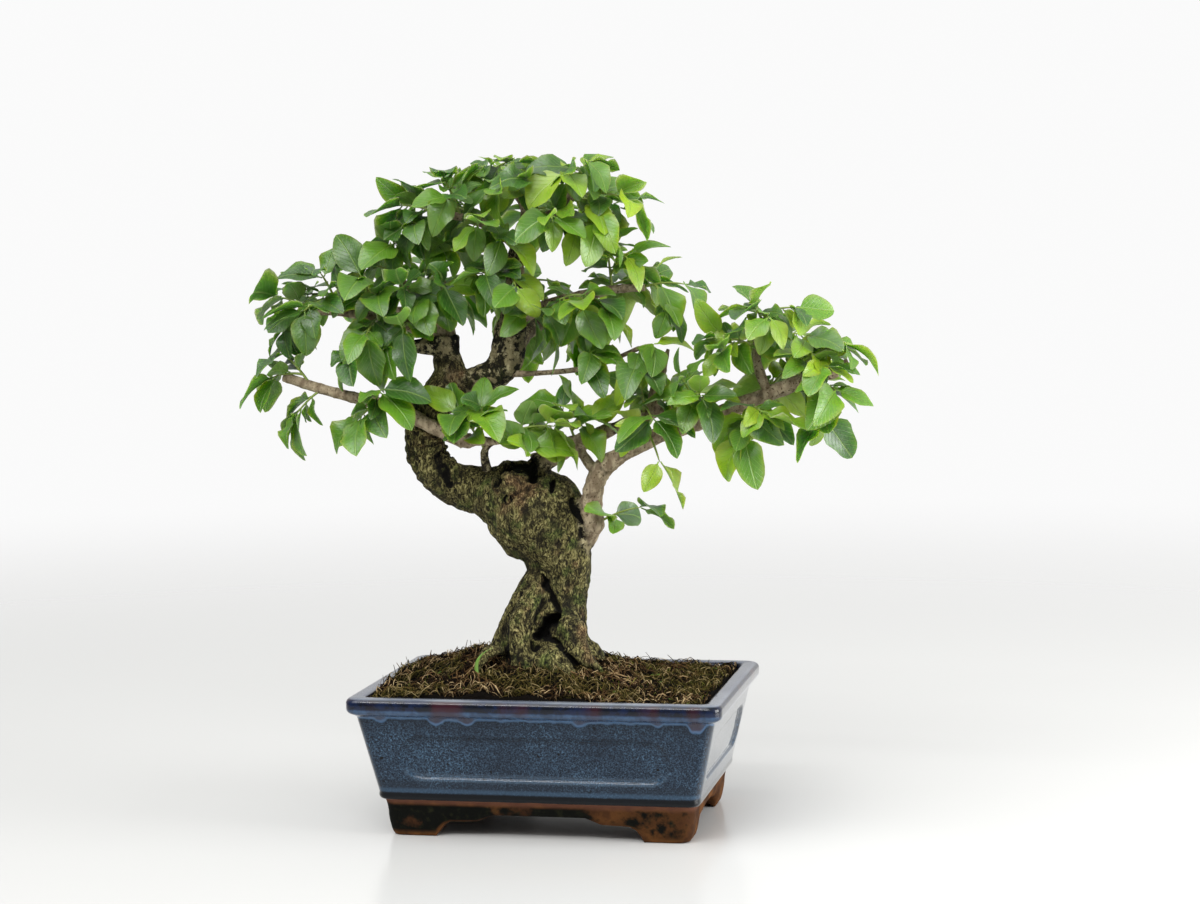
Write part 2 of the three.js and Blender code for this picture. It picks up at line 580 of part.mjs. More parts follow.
// The blade's half width along the leaf, as a share of its widest: a bare stalk, then an
// ovate blade with a drawn-out point
function bladeShape(s) {
  const v = Math.max(0, (s - STALK_SHARE) / (1 - STALK_SHARE));
  return Math.sin(Math.PI * v ** 0.8) * (1 - 0.35 * v * v);
}

// A point on the leaf: s along it, side from -1 to 1 across it. The blade arches away from
// its normal towards the tip and folds up along the midrib.
function leafPoint(leaf, s, side, share) {
  const { base, axis, normal, across, length, half, arch, fold } = leaf;
  const reach = half * share;
  return base.clone()
    .addScaledVector(axis, length * s)
    .addScaledVector(normal, -length * arch * s * s + fold * reach * Math.abs(side))
    .addScaledVector(across, reach * side);
}

function leafSamples(leaf) {
  const samples = [];
  for (const s of SAMPLE_STATIONS) {
    for (const side of s < 1 ? [-1, -0.5, 0, 0.5, 1] : [0]) {
      samples.push({ point: leafPoint(leaf, s, side, bladeShape(s)), s });
    }
  }
  return samples;
}

// What is drawn for each leaf: how far it spreads, droops and turns, its length, half width,
// arch and fold, and how its face sways sideways and nods
const POSES = {
  spread: [0.7, 1.15],
  droop: [0, 0.5],
  turn: [-0.4, 0.4],
  length: [0.72, 1.28],
  half: [0.29, 0.345],
  arch: [0.06, 0.34],
  fold: [0.08, 0.42],
  sway: [-0.45, 0.45],
  nod: [-0.3, 0.3],
};

function leafCandidate(curve, u, lateral, outward, hanging, attempt) {
  const along = curve.getTangent(u);
  const spread = draw(...POSES.spread);
  const droop = draw(...POSES.droop) + hanging;
  const turn = draw(...POSES.turn) * (1 + TURN_PER_TRY * attempt);
  const length = LEAF_LENGTH * draw(...POSES.length) * (1 - SHRINK_PER_TRY * attempt);
  const half = length * draw(...POSES.half);
  const arch = draw(...POSES.arch);
  const fold = draw(...POSES.fold);
  const jitter = new THREE.Vector3(draw(...POSES.sway), draw(...POSES.sway), draw(...POSES.nod));
  const axis = lateral.clone().multiplyScalar(spread)
    .addScaledVector(along, 0.35 + 0.55 * u)
    .addScaledVector(along.clone().cross(lateral), turn)
    .addScaledVector(UP, -droop)
    .normalize();
  const normal = outward.clone().multiplyScalar(0.5 + 0.6 * hanging).addScaledVector(UP, 0.8).add(jitter);
  normal.addScaledVector(axis, -normal.dot(axis)).normalize();
  const across = normal.clone().cross(axis);
  const base = curve.getPoint(u).addScaledVector(lateral, stemHalf(u));
  return { base, axis, normal, across, length, half, arch, fold };
}

// A leaf is clear when all its samples lie in the crown and none comes too near the wood,
// another spray or, beyond the stalks, another leaf of its own spray
function isClear(samples, spray, obstacles) {
  return samples.every(({ point, s }) => CROWN.containsPoint(point) && obstacles.every((other) => {
    const own = other.spray === spray;
    if (own && Math.min(s, other.s) < OWN_CLEAR_FROM) return true;
    const limit = own ? OWN_LEAF_SPACING : other.limit;
    return point.distanceToSquared(other.point) >= limit * limit;
  }));
}

function woodObstacles() {
  const obstacles = [];
  for (const route of Object.values(WOOD)) {
    const curve = routeCurve(route);
    const count = WOOD_SAMPLES * (route.length - 1);
    for (let i = 0; i <= count; i += 1) {
      const limit = routeRadius(route, i / count) + WOOD_CLEARANCE;
      obstacles.push({ point: curve.getPoint(i / count), limit, spray: null, s: 1 });
    }
  }
  return obstacles;
}

// The first of a few drawn poses that is clear of everything, or none
function placeLeaf(spray, obstacles, pose) {
  for (let attempt = 0; attempt < LEAF_TRIES; attempt += 1) {
    const leaf = leafCandidate(...pose, attempt);
    const samples = leafSamples(leaf);
    if (isClear(samples, spray, obstacles)) {
      samples.forEach((sample) => obstacles.push({ ...sample, limit: LEAF_SPACING, spray }));
      return leaf;
    }
  }
  return null;
}

// Pairs of opposite leaves up each stem, every second pair turned, the last one at the tip
function leafOut({ curve, pairs }, spray, obstacles) {
  const offset = curve.getPoint(1).sub(curve.getPoint(0));
  const count = Math.max(1, Math.round(offset.length() / PAIR_SPACING) - 1);
  const outward = new THREE.Vector3(offset.x, offset.y, 0).normalize();
  const level = outward.clone().cross(UP);
  const hanging = offset.z < HANGING_FROM ? HANGING_DROOP : 0;
  for (let i = 0; i < count; i += 1) {
    const u = count === 1 ? 1 : FIRST_PAIR + (1 - FIRST_PAIR) * i / (count - 1);
    const along = curve.getTangent(u);
    const roll = PAIR_ROLLS[i % 2] + draw(-0.35, 0.35);
    const lateral = level.clone().multiplyScalar(Math.cos(roll))
      .addScaledVector(level.clone().cross(along), Math.sin(roll));
    lateral.addScaledVector(along, -lateral.dot(along)).normalize();
    const leaves = [1, -1].map((way) => {
      const pose = [curve, u, lateral.clone().multiplyScalar(way), outward, hanging];
      return placeLeaf(spray, obstacles, pose);
    });
    pairs.push({ u, lateral, leaves });
  }
}

function layOutSprays() {
  const obstacles = woodObstacles();
  const sprays = Object.entries(SPRAYS).map(([name, row]) => ({ name, stems: sprayStems(row) }));
  for (const { name, stems } of sprays) {
    for (const { curve } of stems) {
      for (let i = 2; i <= STEM_SAMPLES; i += 1) {
        const point = curve.getPoint(i / STEM_SAMPLES);
        obstacles.push({ point, limit: STEM_CLEARANCE, spray: name, s: 0 });
      }
    }
  }
  for (const { name, stems } of sprays) {
    stems.forEach((stem) => leafOut(stem, name, obstacles));
  }
  return sprays;
}

// A spray is one skin. Its stems are square tubes, and each leaf, or forking stem, grows out
// of a side face between two near rings of the tube.

function newSkin() {
  return { corners: [], faces: [] };
}

function addCorner(skin, point) {
  return skin.corners.push(point) - 1;
}

function addQuad(skin, a, b, c, d) {
  skin.faces.push(a, b, c, a, c, d);
}

function ringSide(ring, next, i) {
  const j = (i + 1) % 4;
  return [ring[i], ring[j], next[j], next[i]];
}

function addRing(skin, curve, u, lateral) {
  const along = curve.getTangent(u);
  const flat = lateral.clone().addScaledVector(along, -lateral.dot(along)).normalize();
  const upward = along.cross(flat);
  const centre = curve.getPoint(u);
  const half = stemHalf(u);
  return [[1, 1], [-1, 1], [-1, -1], [1, -1]].map(([q, h]) => {
    const corner = centre.clone().addScaledVector(flat, q * half).addScaledVector(upward, h * half);
    return addCorner(skin, corner);
  });
}

// The side's four corners as the first ring of a new tube, turned to twist it least
function turnedToMatch(skin, side, ring) {
  const middle = (corners) => corners
    .reduce((sum, i) => sum.add(skin.corners[i]), new THREE.Vector3())
    .divideScalar(4);
  const from = middle(side);
  const to = middle(ring);
  const twist = (turn) => ring.reduce((sum, corner, i) => {
    const near = skin.corners[side[(i + turn) % 4]].clone().sub(from);
    const far = skin.corners[corner].clone().sub(to);
    return sum + near.distanceToSquared(far);
  }, 0);
  const best = [0, 1, 2, 3].reduce((a, b) => (twist(b) < twist(a) ? b : a));
  return ring.map((_, i) => side[(i + best) % 4]);
}

// The blade has the same triangles above and below its midrib surface, and a rim. Its stalk
// end is the stem's side face: [lower left, lower right, upper right, upper left] in a view
// from outside with the leaf's across direction pointing right.
function addLeaf(skin, leaf, side) {
  const outline = leaf.length > LARGE_LEAF ? LARGE_OUTLINE : SMALL_OUTLINE;
  const spots = outline.flatMap(([s, share]) => [-1, 0, 1].map((way) => leafPoint(leaf, s, way, share)));
  spots.push(leafPoint(leaf, 1, 0, 0));
  const sheet = (ends, shift) => [
    ...ends, ...spots.map((p) => addCorner(skin, p.clone().addScaledVector(leaf.normal, shift))),
  ];
  const [lowLeft, lowRight, highRight, highLeft] = side;
  const above = sheet([highLeft, highRight], LEAF_THICKNESS / 2);
  const below = sheet([lowLeft, lowRight], -LEAF_THICKNESS / 2);
  const tip = above.length - 1;
  const cells = [[0, 2, 3], [0, 3, 1], [1, 3, 4]];
  for (let i = 2; i + 3 < tip; i += 3) {
    cells.push([i, i + 3, i + 4], [i, i + 4, i + 1], [i + 1, i + 4, i + 5], [i + 1, i + 5, i + 2]);
  }
  cells.push([tip - 3, tip, tip - 2], [tip - 2, tip, tip - 1]);
  for (const [a, b, c] of cells) {
    skin.faces.push(above[a], above[b], above[c], below[c], below[b], below[a]);
  }
  const rim = [0];
  for (let i = 2; i < tip; i += 3) rim.push(i);
  rim.push(tip);
  for (let i = tip - 1; i > 2; i -= 3) rim.push(i);
  rim.push(1);
  for (let i = 0; i + 1 < rim.length; i += 1) {
    addQuad(skin, above[rim[i]], below[rim[i]], below[rim[i + 1]], above[rim[i + 1]]);
  }
}

// Which corners of a side face are the leaf's lower left, lower right, upper right and upper
// left depends on which way up the blade grows
function leafSide(skin, leaf, side) {
  const [a, b, c, d] = side;
  const rise = skin.corners[b].clone().sub(skin.corners[a]);
  return rise.dot(leaf.normal) > 0 ? [d, a, b, c] : [b, c, d, a];
}

// The places along a stem where something grows from it, lowest first
function growthPoints(pairs, forks, margin) {
  const leafed = pairs.map((pair) => ({ ...pair, u: Math.min(pair.u, 1 - margin) }));
  const forked = forks.map((fork, i) => {
    return { u: STEM_FORK + FORK_STEP * margin * i, lateral: pairs[0].lateral, fork };
  });
  return [...forked, ...leafed].sort((a, b) => a.u - b.u);
}

// The side face that looks most along a direction
function bestSide(skin, near, far, direction) {
  const facing = (k) => {
    const [a, b, , d] = ringSide(near, far, k).map((i) => skin.corners[i]);
    return b.clone().sub(a).cross(d.clone().sub(a)).normalize().dot(direction);
  };
  return [0, 1, 2, 3].reduce((best, k) => (facing(k) > facing(best) ? k : best));
}

function addStem(skin, { curve, pairs }, firstRing, forks) {
  const margin = LEAF_BASE_WIDTH / 2 / curve.getLength();
  let ring = firstRing;
  growthPoints(pairs, forks, margin).forEach(({ u, lateral, leaves, fork }, i) => {
    const near = addRing(skin, curve, u - margin, lateral);
    const far = addRing(skin, curve, u + margin, lateral);
    if (!ring) {
      ring = addRing(skin, curve, 0, lateral);
      addQuad(skin, ring[3], ring[2], ring[1], ring[0]);
    } else if (i === 0) {
      ring = turnedToMatch(skin, ring, near);
    }
    for (let k = 0; k < 4; k += 1) addQuad(skin, ...ringSide(ring, near, k));
    const grown = leaves ? { 3: leaves[0], 1: leaves[1] } : {};
    const forkSide = fork ? bestSide(skin, near, far, fork.curve.getTangent(0)) : null;
    for (let k = 0; k < 4; k += 1) {
      const side = ringSide(near, far, k);
      if (grown[k]) addLeaf(skin, grown[k], leafSide(skin, grown[k], side));
      else if (k === forkSide) addStem(skin, fork, side, []);
      else addQuad(skin, ...side);
    }
    ring = far;
  });
  addQuad(skin, ...ring);
}

function sprayBody({ stems }, grownWood) {
  const skin = newSkin();
  const [main, ...forks] = stems;
  addStem(skin, main, null, forks);
  const geometry = new THREE.BufferGeometry().setFromPoints(skin.corners);
  geometry.setIndex(skin.faces);
  return largestBody(toSolid(geometry).subtract(grownWood));
}

// The object

const FINISHES = {
  glaze: new THREE.MeshStandardMaterial({ color: 0x3c5570, roughness: 0.18, metalness: 0 }),
  soil: new THREE.MeshStandardMaterial({ color: 0x3d2c1c, roughness: 0.95, metalness: 0 }),
  bark: new THREE.MeshStandardMaterial({ color: 0x6b6048, roughness: 0.85, metalness: 0 }),
  leaf: new THREE.MeshStandardMaterial({ color: 0x4c8a34, roughness: 0.45, metalness: 0 }),
  mesh: new THREE.MeshStandardMaterial({ color: 0x2c2f33, roughness: 0.6, metalness: 0 }),
};

const group = new THREE.Group();

function addPart(name, solid, finish) {
  const mesh = new THREE.Mesh(toGeometry(solid), finish);
  mesh.name = name;
  group.add(mesh);
}

const grownWood = makeWood(GAP);
addPart("pot", makePot(), FINISHES.glaze);
addPart("drain_mesh_1", makeDrainMesh(-1), FINISHES.mesh);
addPart("drain_mesh_2", makeDrainMesh(1), FINISHES.mesh);
addPart("soil", makeSoil(grownWood, grassBlade(GAP)), FINISHES.soil);
addPart("trunk", makeTrunk(), FINISHES.bark);
addPart("grass_blade", grassBlade(0), FINISHES.leaf);
for (const spray of layOutSprays()) {
  addPart(`spray_${spray.name}`, sprayBody(spray, grownWood), FINISHES.leaf);
}

const bounds = new THREE.Box3().setFromObject(group);
const middle = bounds.getCenter(new THREE.Vector3());
group.position.set(-middle.x, -middle.y, -bounds.min.z);

export default group;
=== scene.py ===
import math
from functools import partial

import bpy
import numpy as np
from mathutils import Matrix, Vector


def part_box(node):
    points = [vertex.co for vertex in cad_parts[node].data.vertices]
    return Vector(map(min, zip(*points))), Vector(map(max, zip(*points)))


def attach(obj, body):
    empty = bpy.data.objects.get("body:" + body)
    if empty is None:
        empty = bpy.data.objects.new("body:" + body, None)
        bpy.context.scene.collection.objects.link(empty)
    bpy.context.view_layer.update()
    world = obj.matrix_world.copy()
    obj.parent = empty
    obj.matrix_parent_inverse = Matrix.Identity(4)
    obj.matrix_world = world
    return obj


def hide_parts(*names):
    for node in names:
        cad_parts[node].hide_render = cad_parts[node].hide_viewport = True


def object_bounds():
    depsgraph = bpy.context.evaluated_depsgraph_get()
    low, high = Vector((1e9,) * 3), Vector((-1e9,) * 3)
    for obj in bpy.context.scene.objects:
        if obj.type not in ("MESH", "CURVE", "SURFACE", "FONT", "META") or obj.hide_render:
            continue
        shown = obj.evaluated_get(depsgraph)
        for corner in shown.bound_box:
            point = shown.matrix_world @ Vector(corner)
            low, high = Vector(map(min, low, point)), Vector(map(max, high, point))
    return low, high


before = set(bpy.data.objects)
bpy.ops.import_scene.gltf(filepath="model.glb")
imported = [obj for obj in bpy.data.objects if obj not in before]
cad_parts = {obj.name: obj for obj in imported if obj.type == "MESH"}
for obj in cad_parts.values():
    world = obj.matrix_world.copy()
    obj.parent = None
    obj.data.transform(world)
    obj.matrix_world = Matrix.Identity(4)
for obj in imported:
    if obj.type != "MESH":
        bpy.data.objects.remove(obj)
cad_box = [list(corner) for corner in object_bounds()]

# Everything is laid out in millimetres about the middle of the pot's foot plane, +Z up, and
# goes to the frame's metres when its mesh is written.
MM = 0.001
pot_low, pot_high = (np.array(corner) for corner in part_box("pot"))
MIDDLE = np.array([*(pot_low + pot_high)[:2] / 2, 0])
POT_LENGTH, POT_WIDTH = (pot_high - pot_low)[:2] / MM
UP = np.array([0, 0, 1.0])
rng = np.random.default_rng(20)

# Camera: a long lens a little right of the middle, turned left and slightly down
CAMERA_PLACE = (381.2, -1782.6, 397.2)
CAMERA_YAW, CAMERA_PITCH, CAMERA_ROLL = (math.radians(turn) for turn in (-11.141, -4.637, -0.7206))
FOCAL_LENGTH_PX = 2707.2
IMAGE_WIDTH_PX = 1200


def in_frame(points):
    """Millimetres about the pot's middle to metres in the frame."""
    return points * MM + MIDDLE


def make_camera():
    """The camera's axes come from its yaw and pitch, with the roll turned about the view."""
    forward = np.array([
        math.sin(CAMERA_YAW) * math.cos(CAMERA_PITCH),
        math.cos(CAMERA_YAW) * math.cos(CAMERA_PITCH),
        math.sin(CAMERA_PITCH),
    ])
    level = np.array([math.cos(CAMERA_YAW), -math.sin(CAMERA_YAW), 0])
    lift = np.cross(level, forward)
    right = level * math.cos(CAMERA_ROLL) + lift * math.sin(CAMERA_ROLL)
    above = lift * math.cos(CAMERA_ROLL) - level * math.sin(CAMERA_ROLL)
    data = bpy.data.cameras.new("camera")
    data.sensor_width = 36
    data.lens = FOCAL_LENGTH_PX / IMAGE_WIDTH_PX * data.sensor_width
    data.clip_start, data.clip_end = 0.05, 50
    camera = bpy.data.objects.new("camera", data)
    turned = np.eye(4)
    turned[:3, :3] = np.stack([right, above, -forward], 1)
    turned[:3, 3] = in_frame(np.array(CAMERA_PLACE))
    camera.matrix_world = Matrix(turned)
    bpy.context.scene.collection.objects.link(camera)
    bpy.context.scene.camera = camera


make_camera()


# Shapes: points in millimetres, faces of three or four corners (-1 stands for no fourth one),
# one finish for each face, and data kept for each point

def shape(points, faces, finish=0, **data):
    finishes = np.broadcast_to(finish, len(faces)).astype(int)
    data = {
        name: np.broadcast_to(values, (len(points), *np.shape(values)[1:])) for name, values in data.items()
    }
    return {"points": points, "faces": faces, "finish": finishes, "data": data}


def joined(shapes):
    """The shapes one after another in one mesh. Data that a shape lacks is 0 there."""
    starts = np.cumsum([0, *(len(one["points"]) for one in shapes)])
    faces = [np.where(one["faces"] < 0, -1, one["faces"] + start) for one, start in zip(shapes, starts)]
    like = {name: values for one in shapes for name, values in one["data"].items()}
    data = {
        name: np.concatenate([
            one["data"].get(name, np.zeros((len(one["points"]), *values.shape[1:]))) for one in shapes
        ])
        for name, values in like.items()
    }
    return {
        "points": np.concatenate([one["points"] for one in shapes]),
        "faces": np.concatenate(faces),
        "finish": np.concatenate([one["finish"] for one in shapes]),
        "data": data,
    }


def write_mesh(name, made, finishes, sharp_angle=None):
    """Puts a shape into the mesh of a new object at the origin."""
    faces = made["faces"]
    sides = (faces >= 0).sum(1)
    corners = faces[faces >= 0]
    mesh = bpy.data.meshes.new(name)
    mesh.vertices.add(len(made["points"]))
    mesh.loops.add(len(corners))
    mesh.polygons.add(len(faces))
    mesh.vertices.foreach_set("co", in_frame(made["points"]).astype(np.float32).ravel())
    mesh.loops.foreach_set("vertex_index", corners.astype(np.int32))
    mesh.polygons.foreach_set("loop_start", (np.cumsum(sides) - sides).astype(np.int32))
    mesh.polygons.foreach_set("material_index", made["finish"].astype(np.int32))
    mesh.update(calc_edges=True)
    mesh.shade_smooth()
    if sharp_angle is not None:
        mesh.set_sharp_from_angle(angle=math.radians(sharp_angle))
    for key, values in made["data"].items():
        if key == "uv":
            mesh.uv_layers.new(name=key).data.foreach_set("uv", values[corners].astype(np.float32).ravel())
        else:
            attribute = mesh.attributes.new(key, "FLOAT", "POINT")
            attribute.data.foreach_set("value", values.astype(np.float32))
    for finish in finishes:
        mesh.materials.append(finish)
    made_object = bpy.data.objects.new(name, mesh)
    bpy.context.scene.collection.objects.link(made_object)
    return made_object


def stand_in(piece, slot, *nodes):
    """Has a piece ride on the body and stand for nodes, whose parts it hides. The slot is not used."""
    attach(piece, "root")
    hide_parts(*nodes)


def add_piece(name, made, finishes, slot, *nodes, sharp_angle=None):
    stand_in(write_mesh(name, made, finishes, sharp_angle), slot, *nodes)


def grid_faces(rows, columns, closed):
    """Four-cornered faces between neighbouring rows and columns, the last column meeting the
    first where the rows are closed rings."""
    row, column = np.meshgrid(np.arange(rows - 1), np.arange(columns - (not closed)), indexing="ij")
    following = (column + 1) % columns
    low, high = row * columns, (row + 1) * columns
    return np.stack([low + column, low + following, high + following, high + column], -1).reshape(-1, 4)


def closed_rings(rings):
    """A closed skin through rings of equal length, with a fan of triangles to the middle of
    the first and of the last. Faces point out where rings turn left as seen against their way."""
    count, size = rings.shape[:2]
    points = np.concatenate([rings.reshape(-1, 3), rings[0].mean(0)[None], rings[-1].mean(0)[None]])
    i = np.arange(size)
    j = (i + 1) % size
    top = (count - 1) * size
    none = np.full(size, -1)
    first = np.stack([j, i, np.full(size, count * size), none], 1)
    last = np.stack([top + i, top + j, np.full(size, count * size + 1), none], 1)
    return points, np.concatenate([grid_faces(count, size, True), first, last])


def circle(count, radius):
    """Level points round the origin, turning left from +X."""
    turn = np.linspace(0, 2 * math.pi, count + 1)[:-1]
    return np.stack([np.cos(turn), np.sin(turn), 0 * turn], 1) * radius


def copies(pattern, count, size):
    """The faces of a shape of size points, for as many of it as count, one after another."""
    starts = (np.arange(count) * size)[:, None, None]
    return np.where(pattern < 0, -1, pattern + starts).reshape(-1, 4)


def bake_modifiers(made_object):
    """Puts the result of an object's modifiers into its mesh and takes them off."""
    graph = bpy.context.evaluated_depsgraph_get()
    graph.update()
    result = bpy.data.meshes.new_from_object(made_object.evaluated_get(graph))
    made_object.modifiers.clear()
    made_object.data = result


def unit(vectors):
    return vectors / np.maximum(np.linalg.norm(vectors, axis=-1, keepdims=True), 1e-12)


def smoothstep(low, high, values):
    share = np.clip((values - low) / (high - low), 0, 1)
    return share * share * (3 - 2 * share)


# What scrambles the corners of the noise's lattice: a number for each axis, two that stir, and
# how far the seeds' lattices lie apart
LATTICE = np.array([374761393, 668265263, 1440662683])
STIR, SEED_STEP, SEED_SHIFT, HALF_RANGE = 1274126177, 97, 11.7, 32767.5


def noise(points, size, seed):
    """Smooth noise from -1 to 1: each corner of a cubic lattice, size mm apart, has a number
    scrambled from its place, and a point mixes its cell's eight with eased weights."""
    place = points / size + SEED_SHIFT * seed
    cell = np.floor(place).astype(np.int64)
    part = place - cell
    ease = part * part * (3 - 2 * part)
    total = np.zeros(points.shape[:-1])
    for corner in np.ndindex(2, 2, 2):
        key = (cell + corner) @ LATTICE + seed * SEED_STEP
        key = (key ^ (key >> 13)) * STIR & 0xFFFFFFFF
        number = ((key ^ (key >> 16)) & 0xFFFF) / HALF_RANGE - 1
        total += number * np.where(corner, ease, 1 - ease).prod(-1)
    return total


def layered(points, size, seed):
    """Noise with two finer layers added, each half as coarse and half as strong."""
    return sum(noise(points, size / 2 ** k, seed + k) / 2 ** k for k in range(3))


# Materials

SOFT = {"interpolation_type": "SMOOTHSTEP"}
COLOUR = {"data_type": "RGBA", "out": 2}
TIMES = {"operation": "MULTIPLY"}
TIMES_PLUS = {"operation": "MULTIPLY_ADD"}


def linear(colour):
    """An sRGB hex colour as linear red, green, blue and alpha."""
    parts = [int(colour[i:i + 2], 16) / 255 for i in (1, 3, 5)]
    return [p / 12.92 if p <= 0.04045 else ((p + 0.055) / 1.055) ** 2.4 for p in parts] + [1]


def add(tree, kind, inputs=(), out=0, stops=(), **settings):
    """Adds a shader node and gives back one of its outputs. Settings are its properties, stops
    a ramp's places and colours. Inputs go to its sockets, in their order or by name or number:
    each is a value, a hex colour, or another node's output to link."""
    made = tree.nodes.new("ShaderNode" + kind)
    for name, value in settings.items():
        setattr(made, name, value)
    for i, (place, colour) in enumerate(stops):
        elements = made.color_ramp.elements
        stop = elements[i] if i < 2 else elements.new(place)
        stop.position, stop.color = place, linear(colour)
    for socket, value in inputs.items() if isinstance(inputs, dict) else enumerate(inputs):
        if isinstance(value, bpy.types.NodeSocket):
            tree.links.new(value, made.inputs[socket])
        else:
            made.inputs[socket].default_value = linear(value) if isinstance(value, str) else value
    return made.outputs[out]


def started(name, **surface):
    """A new material, a function that adds nodes to it, and its object coordinates."""
    material = bpy.data.materials.new(name)
    material.use_nodes = True
    shader = material.node_tree.nodes["Principled BSDF"]
    for socket, value in surface.items():
        value = linear(value) if isinstance(value, str) else value
        shader.inputs[socket.replace("_", " ")].default_value = value
    put = partial(add, material.node_tree)
    return material, put, put("TexCoord", out="Object")


def dressed(material, put, height=None, depth_mm=1.0, **driven):
    """Links what drives the shader's sockets, and a height as a bump of that depth."""
    shader = material.node_tree.nodes["Principled BSDF"]
    if height is not None:
        driven["Normal"] = put("Bump", {"Height": height, "Strength": 1.0, "Distance": depth_mm * MM})
    for socket, output in driven.items():
        material.node_tree.links.new(output, shader.inputs[socket.replace("_", " ")])
    return material


def lumps(place, size_mm, detail=3.0, roughness=0.55, distortion=0.0):
    """What a noise node takes to give lumps about size_mm across."""
    return {"Vector": place, "Scale": 1 / (size_mm * MM), "Detail": detail, "Roughness": roughness,
            "Distortion": distortion}


def patches(put, levels, *look, **more):
    """Patches of lumps, with soft edges between two levels."""
    return put("MapRange", [put("TexNoise", lumps(*look, **more)), *levels], **SOFT)


def coats(put, colour, *layers):
    """Lays colours over the first one, each as strongly as its share says."""
    for share, upper in layers:
        colour = put("Mix", {0: share, 6: colour, 7: upper}, **COLOUR)
    return colour


# Spacing of the net in the glaze
NET_SIZE = 1.7
# Levels on the pot between which a part of its finish comes in, and, for some, how strong it is
# at the first and at the second
FINISH_LEVELS = {
    "panel_head": (52, 62),
    "panel_foot": (52, 44),
    "skirt": (41, 36, 0.0, 0.5),
    "upper_wall": (68, 80, 0.0, 0.4),
    "ledge_foot": (30.2, 31.4),
    "ledge_head": (34.6, 32.4, 0.0, 0.24),
    "rim": (93.8, 94.8, 0.0, 0.85),
    "glaze_foot": (31.0, 29.6, 0.0, 0.96),
    "bare_head": (23.5, 20.5),
    "bare_foot": (0.5, 3.5),
    "warm_clay": (20, 25, 0.0, 0.7),
}


def wall_glaze(put, place, thin, at):
    """Slate blue under a fine net and specks of a lighter blue, with pits. It is darker where
    it lies thick, with painted shade along the panel's upper edge and a painted highlight along
    the lower one. The body's colour comes with its grain, its depth and how strong that painted highlight is."""
    net = put("TexVoronoi", {"Vector": place, "Scale": 1 / (NET_SIZE * MM)}, "Distance",
              feature="DISTANCE_TO_EDGE")
    net = put("MapRange", [net, 0.2, 0.02], **SOFT)
    specks = patches(put, (0.38, 0.7), place, 1.1, 2.0, distortion=0.9)
    depth = patches(put, (0.3, 0.7), place, 45, 4.0)
    grains = put("Math", [net, 0.35, put("Math", [specks, 0.65], **TIMES)], **TIMES_PLUS)
    grains = put("Math", [grains, put("MapRange", [depth, 0, 1, 0.62, 1.0])], **TIMES)
    body = put("ValToRGB", [grains], stops=[
        (0.0, "#111924"), (1.0, "#4f6e87"), (0.3, "#1f2b39"), (0.62, "#334659"),
    ])
    pits = patches(put, (0.29, 0.25), place, 4, 1.0)
    # Painted shade along the panel's upper edge, and a painted highlight along its lower edge
    upper_edge_shade = put("Math", [thin, at["panel_head"]], **TIMES)
    lower_edge_highlight = put("Math", [thin, at["panel_foot"]], **TIMES)
    body = coats(put, body, (pits, "#05070b"), (at["skirt"], "#1b232d"), (at["upper_wall"], "#161d27"),
                 (put("Math", [upper_edge_shade, 0.55], **TIMES), "#10161f"),
                 (put("Math", [lower_edge_highlight, 0.3], **TIMES), "#56748e"))
    return body, grains, depth, lower_edge_highlight


def lip_glaze(put, place, height, body, depth, at):
    """The body under a pale blue band with a ragged edge, the dark coat of the lip over that,
    both with maroon runs, and the greyer rim, whose pale grey is partly a painted sheen. The
    colour comes with how strong the band is and with the noise that makes it ragged."""
    around = put("Mapping", {"Vector": place, "Scale": (1, 1, 0)})
    runs = patches(put, (0.53, 0.72), around, 19, 0.0)
    ragged = put("TexNoise", lumps(place, 7))
    edge = put("Math", [runs, 5.0, put("Math", [ragged, 3.0, height], **TIMES_PLUS)], **TIMES_PLUS)
    band = put("MapRange", [edge, 83.0, 84.0], **SOFT)
    line = put("Math", [put("MapRange", [edge, 82.2, 83.4], **SOFT),
                        put("MapRange", [edge, 85.2, 83.8], **SOFT)], **TIMES)
    dark = put("MapRange", [put("Math", [ragged, 2.0, height], **TIMES_PLUS), 87.8, 89.4], **SOFT)
    blots = patches(put, (0.35, 0.7), place, 5)
    maroon = put("Math", [runs, 0.8], **TIMES)
    pale = coats(put, "#243750", (blots, "#344e6c"), (maroon, "#32222c"))
    coat = coats(put, "#070b16", (blots, "#0f1b36"), (maroon, "#34131c"))
    ledge = put("Math", [at["ledge_foot"], at["ledge_head"]], **TIMES)
    # The rim's grey is partly the glaze's own and partly painted sheen
    glaze = coats(put, body, (ledge, "#4d6d8a"), (band, pale), (put("Math", [line, 0.5], **TIMES), "#4f739a"),
                  (dark, coat), (at["rim"], coats(put, "#5b6272", (depth, "#878d96"))),
                  (at["glaze_foot"], "#04060a"))
    return glaze, band, ragged


def bare_clay(put, place, thin, at):
    """Terracotta, paler just under the glaze, with black algae that thin out to the right."""
    across = put("SeparateXYZ", [place], out="X")
    damp = put("Math", [across, -1.5, put("TexNoise", lumps(place, 24, 5.0, 0.6))], **TIMES_PLUS)
    bare = put("Math", [at["bare_head"], at["bare_foot"]], **TIMES)
    bare = put("Math", [bare, put("Math", [1.0, thin], operation="SUBTRACT")], **TIMES)
    algae = put("Math", [put("MapRange", [damp, 0.36, 0.5], **SOFT), bare], **TIMES)
    return coats(put, "#3a2211", (patches(put, (0.35, 0.7), place, 12, 5.0), "#67411f"),
                 (at["warm_clay"], "#704a3c"),
                 (algae, coats(put, "#050603", (patches(put, (0.5, 0.8), place, 4), "#1b1c0e"))))


